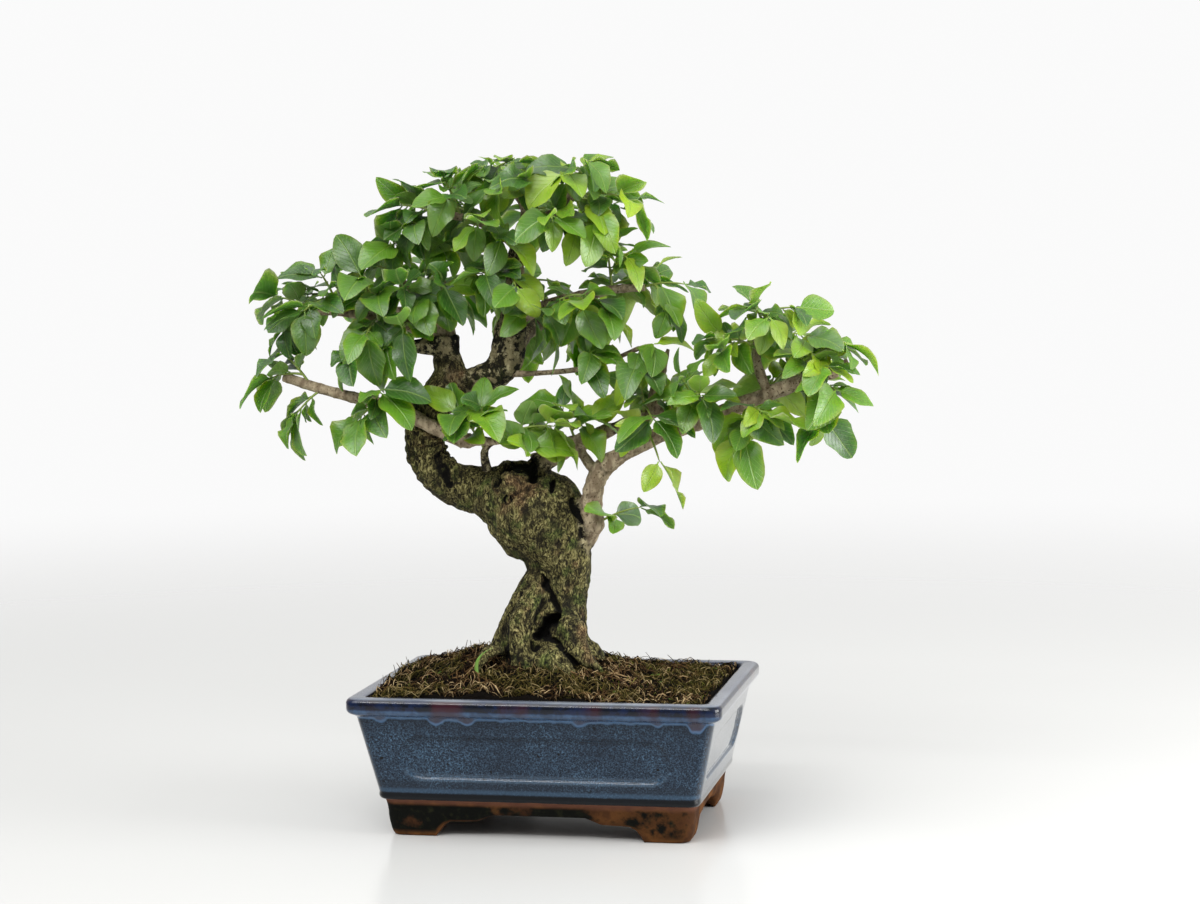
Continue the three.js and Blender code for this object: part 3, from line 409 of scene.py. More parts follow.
def glaze_finish():
    """Stoneware with a slate-blue reduction glaze: nearly black where it is thick, broken into
    a fine net of lighter specks. A darker coat on the lip ends in a pale blue band, with
    maroon runs. Below the glaze line the fired clay is bare and partly black with algae."""
    material, put, place = started("blue glaze on stoneware", Coat_Roughness=0.03, Specular_IOR_Level=0.1)
    height = put("SeparateXYZ", [place], out="Z")
    height = put("Math", [height, MM], operation="DIVIDE")
    thin, side = (put("Attribute", out="Fac", attribute_name=name) for name in ("thin", "side"))
    at = {name: put("MapRange", [height, *levels], **SOFT) for name, levels in FINISH_LEVELS.items()}
    body, grains, depth, lower_edge_highlight = wall_glaze(put, place, thin, at)
    glaze, band, ragged = lip_glaze(put, place, height, body, depth, at)
    glazed = put("Math", [put("TexNoise", lumps(place, 16, 2.0)), 1.2, height], **TIMES_PLUS)
    glazed = put("MapRange", [glazed, 25.8, 26.3], **SOFT)
    shine = put("Math", [put("Math", [band, 0.5], **TIMES), side], operation="MAXIMUM")
    shine = put("MapRange", [put("Math", [shine, lower_edge_highlight], operation="MAXIMUM"), 0, 1, 0.16, 1.0])
    relief = put("Math", [grains, 0.12, put("Math", [ragged, 0.5], **TIMES)], **TIMES_PLUS)
    colour = coats(put, bare_clay(put, place, thin, at), (glazed, glaze))
    return dressed(material, put, relief, 0.45, Base_Color=colour,
                   Roughness=put("MapRange", [glazed, 0, 1, 0.8, 0.22]),
                   Coat_Weight=put("Math", [glazed, shine], **TIMES))


# Pot: one skin of rounded rectangles from the middle of the underside round the feet, up the
# walls, over the lip and down to the floor inside
FLOOR_UNDERSIDE, FLOOR_TOP, SCALLOP_TOP = 16, 25, 15.2
FOOT_INNER_INSET = 37
# Level and inset where the flat of the wall starts and ends
WALL_FOOT, WALL_TOP = (30, 17), (82, 5.5)
UNDERSIDE_CORNER, FOOT_CORNER, BAND_CORNER, LIP_CORNER, CAVITY_CORNER = 6, 7, 8, 9, 5
PANEL_MIDDLE, PANEL_HALF_HEIGHT, PANEL_CORNER, PANEL_DEPTH = 55, 15, 14, 1.8
PANEL_HALVES = (POT_LENGTH / 2 - 36, POT_WIDTH / 2 - 26)
DRAIN_RADIUS, DRAIN_SPACING = 8, 100
# The drill that cuts a drain hole: its sides, and how far it reaches past the floor
DRILL_SIDES, DRILL_MARGIN = 32, 8
# Spacing of the points along the sides, and between which places it is the finer one
COARSE, FINE = 2.4, 1.1
FINE_AT_FRONT, FINE_AT_SIDE = (58, 93), (34, 74)

# Half profiles under the front and the side, from the middle out past the foot: place and level
FRONT_SCALLOP = [
    (0, SCALLOP_TOP), (31, SCALLOP_TOP), (37, 12.6), (42, 10.6), (60, 10), (64.5, 8), (68.5, 3), (70, 0),
    (200, 0),
]
SIDE_SCALLOP = [
    (0, SCALLOP_TOP), (16, SCALLOP_TOP), (22, 12.6), (26, 10.6), (34.5, 10), (39, 8), (42.5, 3), (44, 0),
    (200, 0),
]

# The rows of the skin. Of a foot row: the share of the way from the scallop up to the floor's
# underside, and the inset. Of the walls: from which to which level, and the spacing. Of the
# others: the level and the inset.
UNDERSIDE_SHARES = (0.04, 0.2, 0.45, 0.7, 0.9, 1)
FOOT_ROWS = [
    (0.12, FOOT_INNER_INSET + 0.6), (0, FOOT_INNER_INSET - 1.5), (0, 26.6), (0.03, 25.5), (0.1, 24.7),
    (0.3, 23.7), (0.6, 22.8), (0.85, 22.3),
]
BAND_ROWS = [
    (16.4, 22), (19, 21.7), (22, 21.1), (24.4, 20.5), (25, 19.3), (25.5, 18.2), (26.4, 17.4), (28, 17),
]
WALL_ROWS = [(30, 37, 1.4), (37.5, 43.5, 0.7), (44.5, 66, 1.5), (67, 73, 0.7), (74, 82.1, 1.6)]
LIP_ROWS = [
    (82.5, 5.2), (83, 4.5), (83.6, 3.3), (84.3, 1.9), (85.1, 0.9), (86.2, 0.25), (87.6, 0), (89.5, 0),
    (91.4, 0), (92.6, 0.2), (93.6, 0.8), (94.4, 1.7), (94.9, 2.9), (95, 4.4), (95, 7), (94.9, 9),
    (94.5, 10.4), (93.8, 11.3), (92.8, 11.8), (91, 12),
]
CAVITY_ROWS = [
    (84, 13.6), (70, 17.2), (56, 20.6), (44, 23.4), (37, 25), (30, 26), (26.4, 28), (FLOOR_TOP, 31),
]
FLOOR_SHARES = (0.8, 0.5, 0.25, 0.05)


def side_places(half, marks):
    """Places from -1 to 1 along a straight side, closer together between the marks."""
    ends = [0, *marks, half]
    parts = [np.arange(a, b, step) for a, b, step in zip(ends, ends[1:], (COARSE, FINE, COARSE))]
    places = np.concatenate(parts)
    return np.concatenate([-places[:0:-1], places]) / half


def turned_left(pair):
    return np.array([-pair[1], pair[0]])


class PotOutline:
    """The same places round the pot at any inset: straight sides and quarter-circle corners."""

    def __init__(self):
        front = side_places(POT_LENGTH / 2 - LIP_CORNER, FINE_AT_FRONT)
        side = side_places(POT_WIDTH / 2 - LIP_CORNER, FINE_AT_SIDE)
        corner, normal = np.array([1, 1]), np.array([0, 1])
        straight, bend = [], []
        for quarter, run in enumerate([front, side] * 2):
            angle = np.linspace(0, math.pi / 2, 9) + quarter * math.pi / 2
            way = turned_left(normal)
            straight += [np.tile(corner, (len(angle), 1)), normal + way * run[1:, None]]
            bend += [np.stack([np.cos(angle), np.sin(angle)], 1), np.tile(normal, (len(run) - 1, 1))]
            corner, normal = turned_left(corner), way
        self.straight, self.bend = np.concatenate(straight), np.concatenate(bend)

    def ring(self, inset, corner):
        halves = np.array([POT_LENGTH, POT_WIDTH]) / 2 - inset
        return self.straight * (halves - corner) + self.bend * corner


def scallop_level(xy):
    """The level of the foot ring's lower edge: the higher of the front's and the side's."""
    levels = [
        np.interp(np.abs(xy[:, axis]), *np.array(profile).T)
        for axis, profile in enumerate([FRONT_SCALLOP, SIDE_SCALLOP])
    ]
    return np.maximum(*levels)


def panel_distance(across, height, half_length):
    """How far outside the rounded panel a point of the wall lies, negative inside."""
    slope = math.hypot(WALL_TOP[0] - WALL_FOOT[0], WALL_TOP[1] - WALL_FOOT[1]) / (WALL_TOP[0] - WALL_FOOT[0])
    past_length = np.abs(across) - (half_length - PANEL_CORNER)
    past_height = abs(height - PANEL_MIDDLE) * slope - (PANEL_HALF_HEIGHT - PANEL_CORNER)
    corner = np.stack([past_length, np.full_like(past_length, past_height)], -1)
    outside = np.linalg.norm(np.maximum(corner, 0), axis=-1)
    return outside + np.minimum(corner.max(-1), 0) - PANEL_CORNER


def wall_ring(outline, z):
    """A ring of the wall, sunk over the panel, whose glaze is thin along the panel's edges; the
    finish also paints shade on that band at the upper edge and a highlight at the lower one.
    """
    xy = outline.ring(np.interp(z, *zip(WALL_FOOT, WALL_TOP)), LIP_CORNER)
    normal = outline.bend
    front, side = (np.abs(normal[:, axis]) > 0.99 for axis in (1, 0))
    distance = np.where(front, panel_distance(xy[:, 0], z, PANEL_HALVES[0]),
                        np.where(side, panel_distance(xy[:, 1], z, PANEL_HALVES[1]), 9.0))
    depth = PANEL_DEPTH * (1 - smoothstep(-1.6, 0.5, distance))
    edge = 0.8 * np.exp(-((distance - 0.6) / 0.9) ** 2) + 0.5 * np.exp(-((distance + 2.2) / 1.2) ** 2)
    return xy - normal * depth[:, None], z, edge


def pot_rings(outline):
    """Each ring's outline, its level and how thin its glaze is, which along the panel's edges
    also carries painted shade and a painted highlight, from the middle of the underside to the
    middle of the floor inside."""
    for share in UNDERSIDE_SHARES:
        yield outline.ring(FOOT_INNER_INSET + 1, UNDERSIDE_CORNER) * share, FLOOR_UNDERSIDE, 0
    for share, inset in FOOT_ROWS:
        xy = outline.ring(inset, FOOT_CORNER)
        low = scallop_level(xy)
        yield xy, low + (FLOOR_UNDERSIDE - low) * share, 1 - smoothstep(0.03, 0.2, share)
    for z, inset in BAND_ROWS:
        yield outline.ring(inset, BAND_CORNER), z, 0
    for z in np.concatenate([np.arange(*row) for row in WALL_ROWS]):
        yield wall_ring(outline, z)
    for z, inset in LIP_ROWS:
        yield outline.ring(inset, LIP_CORNER - 0.35 * max(0, inset - 1)), z, 0
    for z, inset in CAVITY_ROWS:
        yield outline.ring(inset, CAVITY_CORNER), z, 0
    for share in FLOOR_SHARES:
        yield outline.ring(CAVITY_ROWS[-1][1], CAVITY_CORNER) * share, FLOOR_TOP, 0


def pot_shape():
    """The rings as a skin, whose glazed walls waver inwards by up to a third of a millimetre,
    as hand work does. Data: where the glaze is thin, which along the panel's edges also carries
    painted shade and a painted highlight, and how far a face looks sideways."""
    outline = PotOutline()
    around = len(outline.bend)
    xys, levels, thin = zip(*pot_rings(outline))
    rings = np.array([np.column_stack([xy, np.broadcast_to(z, around)]) for xy, z in zip(xys, levels)])
    thin = np.concatenate([np.broadcast_to(one, around) for one in thin])
    waver = 0.16 * (1 + noise(rings, 34, 3)) * smoothstep(26, 34, rings[..., 2])
    rings[..., :2] -= outline.bend * waver[..., None]
    points, faces = closed_rings(rings)
    side = np.tile(smoothstep(0.5, 0.99, np.abs(outline.bend[:, 0])), len(rings))
    return shape(points, faces, thin=np.append(thin, [0, 0]), side=np.append(side, [0, 0]))


def make_pot():
    """The skin, with both drain holes cut through its floor."""
    pot = write_mesh("pot_glazed", pot_shape(), [glaze_finish()])
    levels = np.array([FLOOR_UNDERSIDE - DRILL_MARGIN, FLOOR_TOP + DRILL_MARGIN])
    for side in (-1, 1):
        centres = np.array([side * DRAIN_SPACING / 2, 0, 0]) + levels[:, None] * UP
        rings = centres[:, None] + circle(DRILL_SIDES, DRAIN_RADIUS)
        drill = write_mesh("drill", shape(*closed_rings(rings)), [])
        cut = pot.modifiers.new("drain hole", "BOOLEAN")
        cut.object, cut.operation, cut.solver = drill, "DIFFERENCE", "EXACT"
        bake_modifiers(pot)
        bpy.data.objects.remove(drill)
    pot.data.set_sharp_from_angle(angle=math.radians(50))
    stand_in(pot, "glaze", "pot")


make_pot()


# Wood routes, lowest or innermost point first: x, y, z and the radius there
TRUNK = [
    [-7, 0, 84, 27], [-7, -1, 104, 30], [-6, -1, 127, 26], [-3, 0, 148, 22], [1, 0, 166, 21],
    [-1, 0, 183, 25], [-9, 0, 199, 31], [-19, 0, 213, 32], [-27, 0, 226, 24],
]
WOOD = {
    "bent_limb": [
        [-36, 0, 221, 18], [-54, -2, 224, 16.5], [-70, -6, 228, 14.5], [-83, -9, 239, 13.5],
        [-89, -10, 255, 12.5], [-88, -9, 272, 12.5], [-80, -6, 288, 12], [-71, -3, 301, 10.5],
    ],
    "left_stem": [[-70, -3, 297, 10.5], [-74, -3, 312, 8.6], [-75, -2, 328, 8]],
    "left_knob": [[-75, -2, 322, 6.4], [-89, -4, 322, 5.4], [-103, -6, 322, 4.2]],
    "left_branch": [
        [-77, -2, 325, 5], [-98, -4, 335, 4.2], [-120, -6, 341, 3.5], [-144, -8, 345, 2.9],
        [-167, -8, 346, 2.2],
    ],
    "left_up": [
        [-75, 0, 325, 5.5], [-87, 2, 341, 4.2], [-100, 3, 353, 3.5], [-108, 4, 370, 2.8], [-110, 4, 386, 2.2],
    ],
    "left_back": [[-74, 0, 322, 5], [-84, 18, 334, 4], [-100, 36, 342, 3.2], [-122, 50, 345, 2.4]],
    "left_inner": [[-73, 1, 326, 5], [-77, 8, 348, 3.6], [-81, 10, 369, 2.8], [-80, 8, 386, 2.2]],
    "right_stem": [
        [-71, -3, 295, 8.5], [-55, -3, 298, 8], [-41, -1, 303, 9], [-33, 0, 314, 10.6], [-31, 0, 328, 10],
        [-28, 0, 344, 7.6], [-27, 0, 363, 5.9], [-26, 0, 384, 4.8], [-22, 0, 396, 4],
    ],
    "apex_right": [
        [-25, 0, 390, 4], [-11, -2, 404, 3.4], [4, -4, 412, 3], [13, -5, 421, 2.5], [19, -5, 437, 1.8],
    ],
    "apex_left": [[-26, 0, 390, 4], [-41, -3, 401, 3.2], [-59, -5, 408, 2.8], [-79, -6, 411, 2.1]],
    "apex_up": [[-23, 0, 393, 3.6], [-20, 3, 413, 2.8], [-30, 3, 428, 2.2], [-39, 3, 438, 1.8]],
    "apex_back": [[-25, 1, 388, 3.6], [-20, 18, 402, 3], [-24, 36, 412, 2.2]],
    "mid_right": [
        [-30, 0, 338, 5], [-4, 3, 349, 4.2], [20, 5, 355, 3.8], [41, 6, 359, 3.1], [61, 6, 360, 2.3],
    ],
    "mid_twig": [
        [-36, -2, 303, 3], [-17, -3, 303, 1.9], [11, -4, 305, 1.7], [32, -5, 309, 1.6], [59, -6, 320, 1.5],
    ],
    "back_limb": [[-32, 2, 320, 7], [-24, 28, 330, 5], [-16, 56, 338, 3.8], [-2, 82, 342, 2.6]],
    "main_right": [
        [6, -2, 178, 9], [20, -5, 196, 9.5], [25, -8, 215, 7.6], [30, -9, 234, 6.8], [43, -10, 247, 6.3],
        [63, -10, 258, 5.9], [90, -10, 268, 5.5], [117, -10, 278, 5.3], [147, -10, 290, 5.2],
        [177, -10, 301, 5], [200, -10, 309, 5],
    ],
    "second_right": [
        [-18, 0, 230, 11], [-10, 0, 242, 7.8], [4, -2, 251, 6.3], [25, -3, 260, 5.5], [46, -2, 268, 4.8],
        [66, 0, 276, 4.2], [91, 8, 281, 3.4], [114, 18, 288, 2.6],
    ],
    "fork": [[13, -2, 255, 3.6], [20, -5, 247, 3.2], [28, -8, 238, 3.8]],
    "head_twig": [[-46, -8, 236, 3.4], [-46, -14, 252, 2.4], [-34, -18, 262, 1.9]],
    "cut_branch": [
        [-62, -8, 258, 5.2], [-82, -21, 269, 4.8], [-96, -24, 277, 4.6], [-116, -24, 284, 4.1],
        [-138, -23, 289, 3.8], [-161, -22, 295, 3.5], [-184, -20, 302, 3.3],
    ],
    "dead_stub": [[66, 0, 276, 4.8], [70, -2, 293, 4.4], [74, -3, 307, 3], [78, -3, 319, 1.1]],
    "right_up": [[146, -10, 289, 3.6], [139, -9, 308, 3], [138, -8, 322, 2.5], [142, -8, 340, 1.8]],
}


# Wood: a skin remeshed round all the thick limbs, and clean tubes for the thin ones
THICK = [
    "bent_limb", "left_stem", "left_knob", "right_stem", "main_right", "second_right", "fork", "back_limb",
]
# Rounded lumps in the skin: the middle of each and its half sizes
KNOTS = [((-27, 0, 219), (33, 28, 24)), ((-29, -23, 229), (10, 9, 8)), ((17, 0, 205), (12, 13, 14)),
         ((-72, -3, 299), (13, 11, 10)), ((3, -31, 114), (13, 10, 9)), ((13, -20, 131), (10, 9, 9)),
         ((24, -9, 203), (10, 9, 11))]
# Swellings that run down the foot of the trunk, as routes
RIDGES = [
    [(-13, -10, 168, 8), (-21, -15, 150, 9), (-30, -18, 130, 8.5), (-37, -22, 110, 8), (-45, -26, 94, 6)],
    [(-9, -18, 163, 5), (-15, -24, 150, 7), (-21, -29, 134, 7.5), (-19, -33, 114, 8), (-8, -34, 100, 8)],
    [(9, -14, 144, 6), (12, -22, 133, 8.5), (16, -26, 122, 8.5), (24, -26, 109, 7.5), (33, -24, 95, 6)],
    [(-14, -31, 110, 7), (-2, -35, 110, 8), (10, -35, 104, 8), (18, -34, 92, 6)],
    [(10, -4, 160, 7), (11, -8, 140, 8), (14, -11, 120, 7.5), (24, -14, 98, 6)],
    [(-24, -28, 117, 4), (-33, -38, 120, 2.6), (-41, -43, 118, 2.4), (-46, -47, 107, 2.3), (-51, -51, 94, 2)],
]
# Hollows and crevices in the front of the wood, cut in and darkened with painted shade: x, z
# and half width along each, and its depth
CREVICES = [
    ([(-7, 168, 1.2), (-5, 163, 2.6), (-1, 157, 1.8), (1, 152, 2.8), (4, 147, 2.2), (5.5, 141, 1.6)], 5),
    ([(3, 141, 2.4), (-1, 138, 4.4), (-4, 132, 5.4), (-8, 128, 3.2)], 11),
    ([(-3, 126, 2), (6, 124, 1.6), (14, 116, 2.2), (21, 108, 3.4), (31, 104, 3)], 3.6),
    ([(-20, 156, 1.6), (-26, 141, 2), (-27, 127, 2.2), (-27, 112, 2.6)], 1.6),
    ([(-36, 113, 3), (-33, 107, 4), (-34, 101, 3)], 5),
    ([(-34, 231, 2.2), (-33, 238, 3), (-26, 242, 4), (-17, 241, 4.6), (-12, 234, 3.6)], 7),
    ([(-28, 223, 1.2), (-30.5, 220, 1.3), (-28, 217, 1.3), (-25, 219, 1.3), (-26, 222.5, 1)], 2.2),
    ([(0, 230, 1.8), (1, 226, 1.8)], 5),
    ([(-77, 250, 3.4), (-75, 240, 4.4), (-70, 229, 3)], 3.4),
    ([(13, 219, 1.6), (16, 211, 2), (20, 204, 1.4)], 3.4),
]
# Each root: direction in degrees from +X, how far it reaches, its thickness and how far it bows
ROOTS = [(-168, 48, 12, 0), (-150, 46, 6, 8), (-130, 40, 11, 3), (-96, 38, 7, -5), (-72, 36, 13, 0),
         (-48, 36, 6, 6), (-30, 35, 11, 0), (14, 33, 11, 0), (72, 36, 12, 0), (140, 40, 12, 0)]
# How old each limb's bark looks: 1 is dark and mossy, 0 smooth and tan
BARK_AGES = {"trunk": 1, "bent_limb": 0.95, "left_stem": 0.75, "left_knob": 0.6, "right_stem": 0.75,
             "main_right": 0.3, "second_right": 0.3, "fork": 0.3, "back_limb": 0.5, "cut_branch": 0.1,
             "cut_end": 0.1, "head_twig": 0.55}
# The cut branch goes on as a thin twig in front of the limb that it grows from
CUT_BRANCH_END = [[-78, -19, 267.5, 5], [-62, -9, 258.5, 5.3], [-50, -17, 259, 3.6], [-38, -24, 258.5, 2.5],
                  [-27, -30, 260, 1.3]]
VOXEL = 1.15
# The most points that are compared with a route at once, and the spacing of knots on thin limbs
BATCH, KNOT_SPACING = 20000, 11


def along_route(route, t):
    """Points and radii on a Catmull-Rom spline. Between points b and c, whose neighbours are a
    and d, the slopes are p = (c - a)/2 and q = (d - b)/2, and the share s of the way gives
    b + p s + (3(c - b) - 2p - q) s^2 + (2(b - c) + p + q) s^3."""
    route = np.array(route, float)
    padded = np.concatenate([[2 * route[0] - route[1]], route, [2 * route[-1] - route[-2]]])
    place = np.clip(t, 0, 1) * (len(route) - 1)
    i = np.minimum(place.astype(int), len(route) - 2)
    s = (place - i)[:, None]
    a, b, c, d = (padded[i + k] for k in range(4))
    p, q = (c - a) / 2, (d - b) / 2
    return b + s * (p + s * ((3 * (c - b) - 2 * p - q) + s * (2 * (b - c) + p + q)))


def route_length(route):
    return np.linalg.norm(np.diff(np.array(route)[:, :3], axis=0), axis=1).sum()


def tube(path, radii, sides, relief=None, first_side=None):
    """Closed rings round a path. The first side is carried along without twist, and relief
    multiplies the radius from ring to ring and round each ring."""
    along = unit(np.gradient(path, axis=0))
    side = np.array(first_side or ([0, 1, 0] if abs(along[0][2]) > 0.7 else [0, 0, 1]), float)
    carried = []
    for direction in along:
        side = unit(side - direction * (side @ direction))
        carried.append(side)
    carried = np.array(carried)
    other = np.cross(along, carried)
    angle = np.arange(sides) / sides * 2 * math.pi
    reach = radii[:, None] * (1 if relief is None else relief(np.linspace(0, 1, len(path))[:, None], angle))
    reach = np.broadcast_to(reach, (len(path), sides))[..., None]
    ring = np.cos(angle)[:, None] * carried[:, None] + np.sin(angle)[:, None] * other[:, None]
    return closed_rings(path[:, None] + reach * ring)


def limb_shape(route, sides, spacing, form=None, **data):
    spots = along_route(route, np.linspace(0, 1, max(4, int(route_length(route) / spacing))))
    return shape(*tube(spots[:, :3], spots[:, 3], sides, form), **data)


def ball_shape(centre, radii):
    sides = 24
    turn = np.linspace(0.02, math.pi - 0.02, sides // 2)[:, None, None]
    angle = np.arange(sides)[:, None] / sides * 2 * math.pi
    rings = np.concatenate([
        np.sin(turn) * np.cos(angle), np.sin(turn) * np.sin(angle), -np.cos(turn) + 0 * angle,
    ], -1)
    return shape(*closed_rings(np.array(centre) + rings * np.array(radii)))


def root_route(degrees, reach, thickness, bow):
    """A root from inside the trunk down into the soil. Its rows hold how far out it is, its
    height, and the shares of its thickness and of its bow."""
    angle = math.radians(degrees)
    outward = np.array([math.cos(angle), math.sin(angle)])
    level = np.array([-math.sin(angle), math.cos(angle)])
    rows = [(6, 134, 0.95, 0), (0.5 * reach, 117, 1, 1), (0.85 * reach, 107, 0.85, 0.6),
            (1.1 * reach, 95, 0.6, 0), (1.2 * reach, 88, 0.5, 0)]
    return [[*(outward * out + level * bow * bend + [TRUNK[1][0], 0]), z, thickness * width]
            for out, z, width, bend in rows]


def trunk_relief(t, angle):
    """Ribs that fade out upwards and low lumps all the way."""
    fade = np.maximum(0, 1 - t / 0.45)
    ribs = 0.5 * np.sin(5 * angle + 0.6) + 0.5 * np.sin(3 * angle + 2.1)
    lumps = 0.035 * np.sin(2 * angle + 9 * t) + 0.025 * np.sin(4 * angle - 14 * t)
    return 1 + 0.1 * fade * ribs + lumps


def remeshed(made, voxel):
    """One even skin of four-cornered faces round closed shapes that overlap."""
    source = write_mesh("wood_core", made, [])
    skin = source.modifiers.new("skin", "REMESH")
    skin.mode, skin.voxel_size = "VOXEL", voxel * MM
    bake_modifiers(source)
    mesh = source.data
    points = np.empty(len(mesh.vertices) * 3, np.float32)
    mesh.vertices.foreach_get("co", points)
    faces = np.empty(len(mesh.loops), np.int32)
    mesh.loops.foreach_get("vertex_index", faces)
    bpy.data.objects.remove(source)
    return (points.reshape(-1, 3) - MIDDLE) / MM, faces.reshape(-1, 4).astype(int)


def relaxed(points, faces, rounds, strengths):
    """Moves each point by a share of the way to the mean of its neighbours, with each strength
    in turn. A share under 0 after one over 0 gives the lost volume back."""
    start = faces.ravel()
    end = np.roll(faces, -1, axis=1).ravel()
    start, end = np.concatenate([start, end]), np.concatenate([end, start])
    count = np.bincount(start, minlength=len(points))[:, None]
    for strength in list(strengths) * rounds:
        sums = np.stack([np.bincount(start, points[end, k], len(points)) for k in range(points.shape[1])], 1)
        points = points + strength * (sums / count - points)
    return points


def point_normals(points, faces):
    """The mean of the faces round each point, each weighted by its area."""
    a, b, c, d = (points[faces[:, k]] for k in range(4))
    facing = np.cross(c - a, d - b)
    sums = np.zeros_like(points)
    for k in range(4):
        for axis in range(3):
            sums[:, axis] += np.bincount(faces[:, k], facing[:, axis], len(points))
    return unit(sums)


def route_distances(points, route):
    """The distance of each point from the skin round a route, and the way along the route to
    the nearest place on it, both in millimetres."""
    spots = along_route(route, np.linspace(0, 1, max(3, int(route_length(route) / 3))))
    steps = np.append(0, np.cumsum(np.linalg.norm(np.diff(spots[:, :3], axis=0), axis=1)))
    distance, way = np.empty((2, len(points)))
    for start in range(0, len(points), BATCH):
        part = slice(start, start + BATCH)
        gaps = np.linalg.norm(points[part, None] - spots[:, :3], axis=-1) - spots[:, 3]
        distance[part], way[part] = gaps.min(1), steps[gaps.argmin(1)]
    return distance, way


def crevice(points, facing, path, depth):
    """How deep a crevice cuts, how strongly painted shade darkens it and how far its rim stands
    out. The distance is seen from the front, in half widths, and noise makes it ragged: the cut
    is full within 0.4 and ends at 1.1, and the rim is a low bell round 1.5."""
    near = np.flatnonzero((facing < 0.3) & (points[:, 1] < 4))
    spots = along_route([(x, 0, z, width) for x, z, width in path], np.linspace(0, 1, 20))
    gaps = points[near][:, None, ::2] - spots[:, :3:2]
    away = (np.linalg.norm(gaps, axis=-1) / spots[:, 3]).min(1) + 0.42 * layered(points[near], 4, 17)
    front = smoothstep(0.3, -0.1, facing[near])
    cut, dark, rim = np.zeros((3, len(points)))
    cut[near] = depth * smoothstep(1.1, 0.4, away) * front
    # Painted shade in the crevice
    dark[near] = smoothstep(1.2, 0.3, away) * front * min(1, depth / 5)
    rim[near] = 0.14 * depth * np.exp(-((away - 1.5) / 0.4) ** 2) * front
    return cut, dark, rim


def wood_core():
    """One even skin round the trunk, the thick limbs, the ridges, the roots and the knots."""
    parts = [limb_shape(TRUNK, 40, 4, trunk_relief)]
    parts += [limb_shape(WOOD[name], 24, 3) for name in THICK]
    parts += [limb_shape(route, 16, 3) for route in RIDGES + [root_route(*root) for root in ROOTS]]
    parts += [ball_shape(*knot) for knot in KNOTS]
    points, faces = remeshed(joined(parts), VOXEL)
    return relaxed(points, faces, 6, (0.5, -0.52)), faces


def limb_shares(points):
    """How much of each point belongs to each thick limb, less and less with its distance, and
    the way along each limb."""
    routes = {"trunk": TRUNK, **{name: WOOD[name] for name in THICK}}
    found = {name: route_distances(points, route) for name, route in routes.items()}
    closeness = np.stack([np.exp(-np.clip(gap, -2, 60) / 2.5) for gap, _ in found.values()])
    closeness /= closeness.sum(0)
    return dict(zip(found, closeness)), {name: way for name, (_, way) in found.items()}


def bark_relief(points, normals, share, way, age):
    """How far the bark stands out: layers of lumps, higher on old bark, folds across the
    inside of the bent limb, faint rings on the right limbs, and slanting folds at the waist."""
    long_lumps = points * [1, 1, 0.55]
    rough = 0.35 + 0.65 * age
    push = rough * (1.6 * layered(long_lumps, 19, 1) + 1.3 * (0.5 - np.abs(layered(long_lumps, 8, 4))))
    push += 0.55 * rough * noise(points, 3.2, 8)
    bent = way["bent_limb"]
    bend = share["bent_limb"] * smoothstep(30, 60, bent) * smoothstep(130, 105, bent)
    inner = smoothstep(-0.6, 0.8, normals @ unit(np.array([0.9, -0.3, 0.3])))
    folds = np.sin(2 * math.pi * (bent / 5.2 + 0.5 * noise(points, 14, 11)))
    push += 0.9 * bend * (0.35 + 0.65 * inner) * folds
    rings = share["main_right"] + share["second_right"] + 0.5 * share["right_stem"]
    push += 0.22 * rings * np.sin(2 * math.pi * (way["main_right"] / 3.4 + noise(points, 20, 12)))
    waist = np.exp(-(np.linalg.norm((points - [14, -18, 170]) / [14, 16, 20], axis=1)) ** 2)
    slant = points @ [0.06, 0, 0.15]
    return push + 0.5 * waist * np.sin(2 * math.pi * (slant + 0.9 * noise(points, 13, 13)))


def thick_wood():
    """The core with its bark pushed out and its crevices cut in. Data: how old the bark looks,
    how much painted shade it gets in its crevices and hollows and towards its foot, and how
    high it stands, lower in hollows and towards the foot, which the finish darkens as painted
    shade. A hollow is how far a point moves out when the skin round it is smoothed."""
    points, faces = wood_core()
    share, way = limb_shares(points)
    age = sum(BARK_AGES[name] * part for name, part in share.items())
    age = np.maximum(age, smoothstep(150, 130, points[:, 2]))
    normals = point_normals(points, faces)
    push = bark_relief(points, normals, share, way, age)
    cut, dark, rim = np.array([crevice(points, normals[:, 1], *row) for row in CREVICES]).max(0)
    inward = unit(np.array([0, 1, 0]) - normals)
    points = points + normals * (push + rim)[:, None] + inward * cut[:, None]
    facing = point_normals(points, faces)
    smooth = relaxed(points, faces, 12, (0.6,))
    hollow = ((smooth - points) * facing).sum(1)
    smooth = relaxed(smooth, faces, 45, (0.8,))
    wide_hollow = ((smooth - points) * facing).sum(1)
    points = relaxed(points, faces, 1, (0.25,))
    low = smoothstep(168, 128, points[:, 2])
    # Painted shade: the crevices' dark, more towards the foot, and the skin's hollows
    shade = dark + 0.25 * low + 0.3 * np.clip(hollow, 0, 2)
    shade = shade + (0.07 + 0.09 * low) * np.clip(wide_hollow, 0, 6)
    # Lower in hollows and towards the foot; the finish paints shade where this is low
    relief = 0.5 + 0.36 * push - 0.3 * np.clip(hollow, -2, 2) - 0.05 * np.clip(wide_hollow, -5, 5) - 0.2 * low
    return shape(points, faces, age=age, shade=np.clip(shade, 0, 1), relief=np.clip(relief, 0, 1))


def knotty(length, seed):
    """The form of a thin limb: not quite round, with a low knot now and then."""
    def form(t, angle):
        place = t * length / KNOT_SPACING + seed * 0.37
        knot = np.exp(-((place - np.round(place)) / 0.12) ** 2)
        return 1 + 0.1 * knot + 0.05 * np.sin(2 * angle + 5 * t + seed) * np.sin(17 * t + seed)
    return form


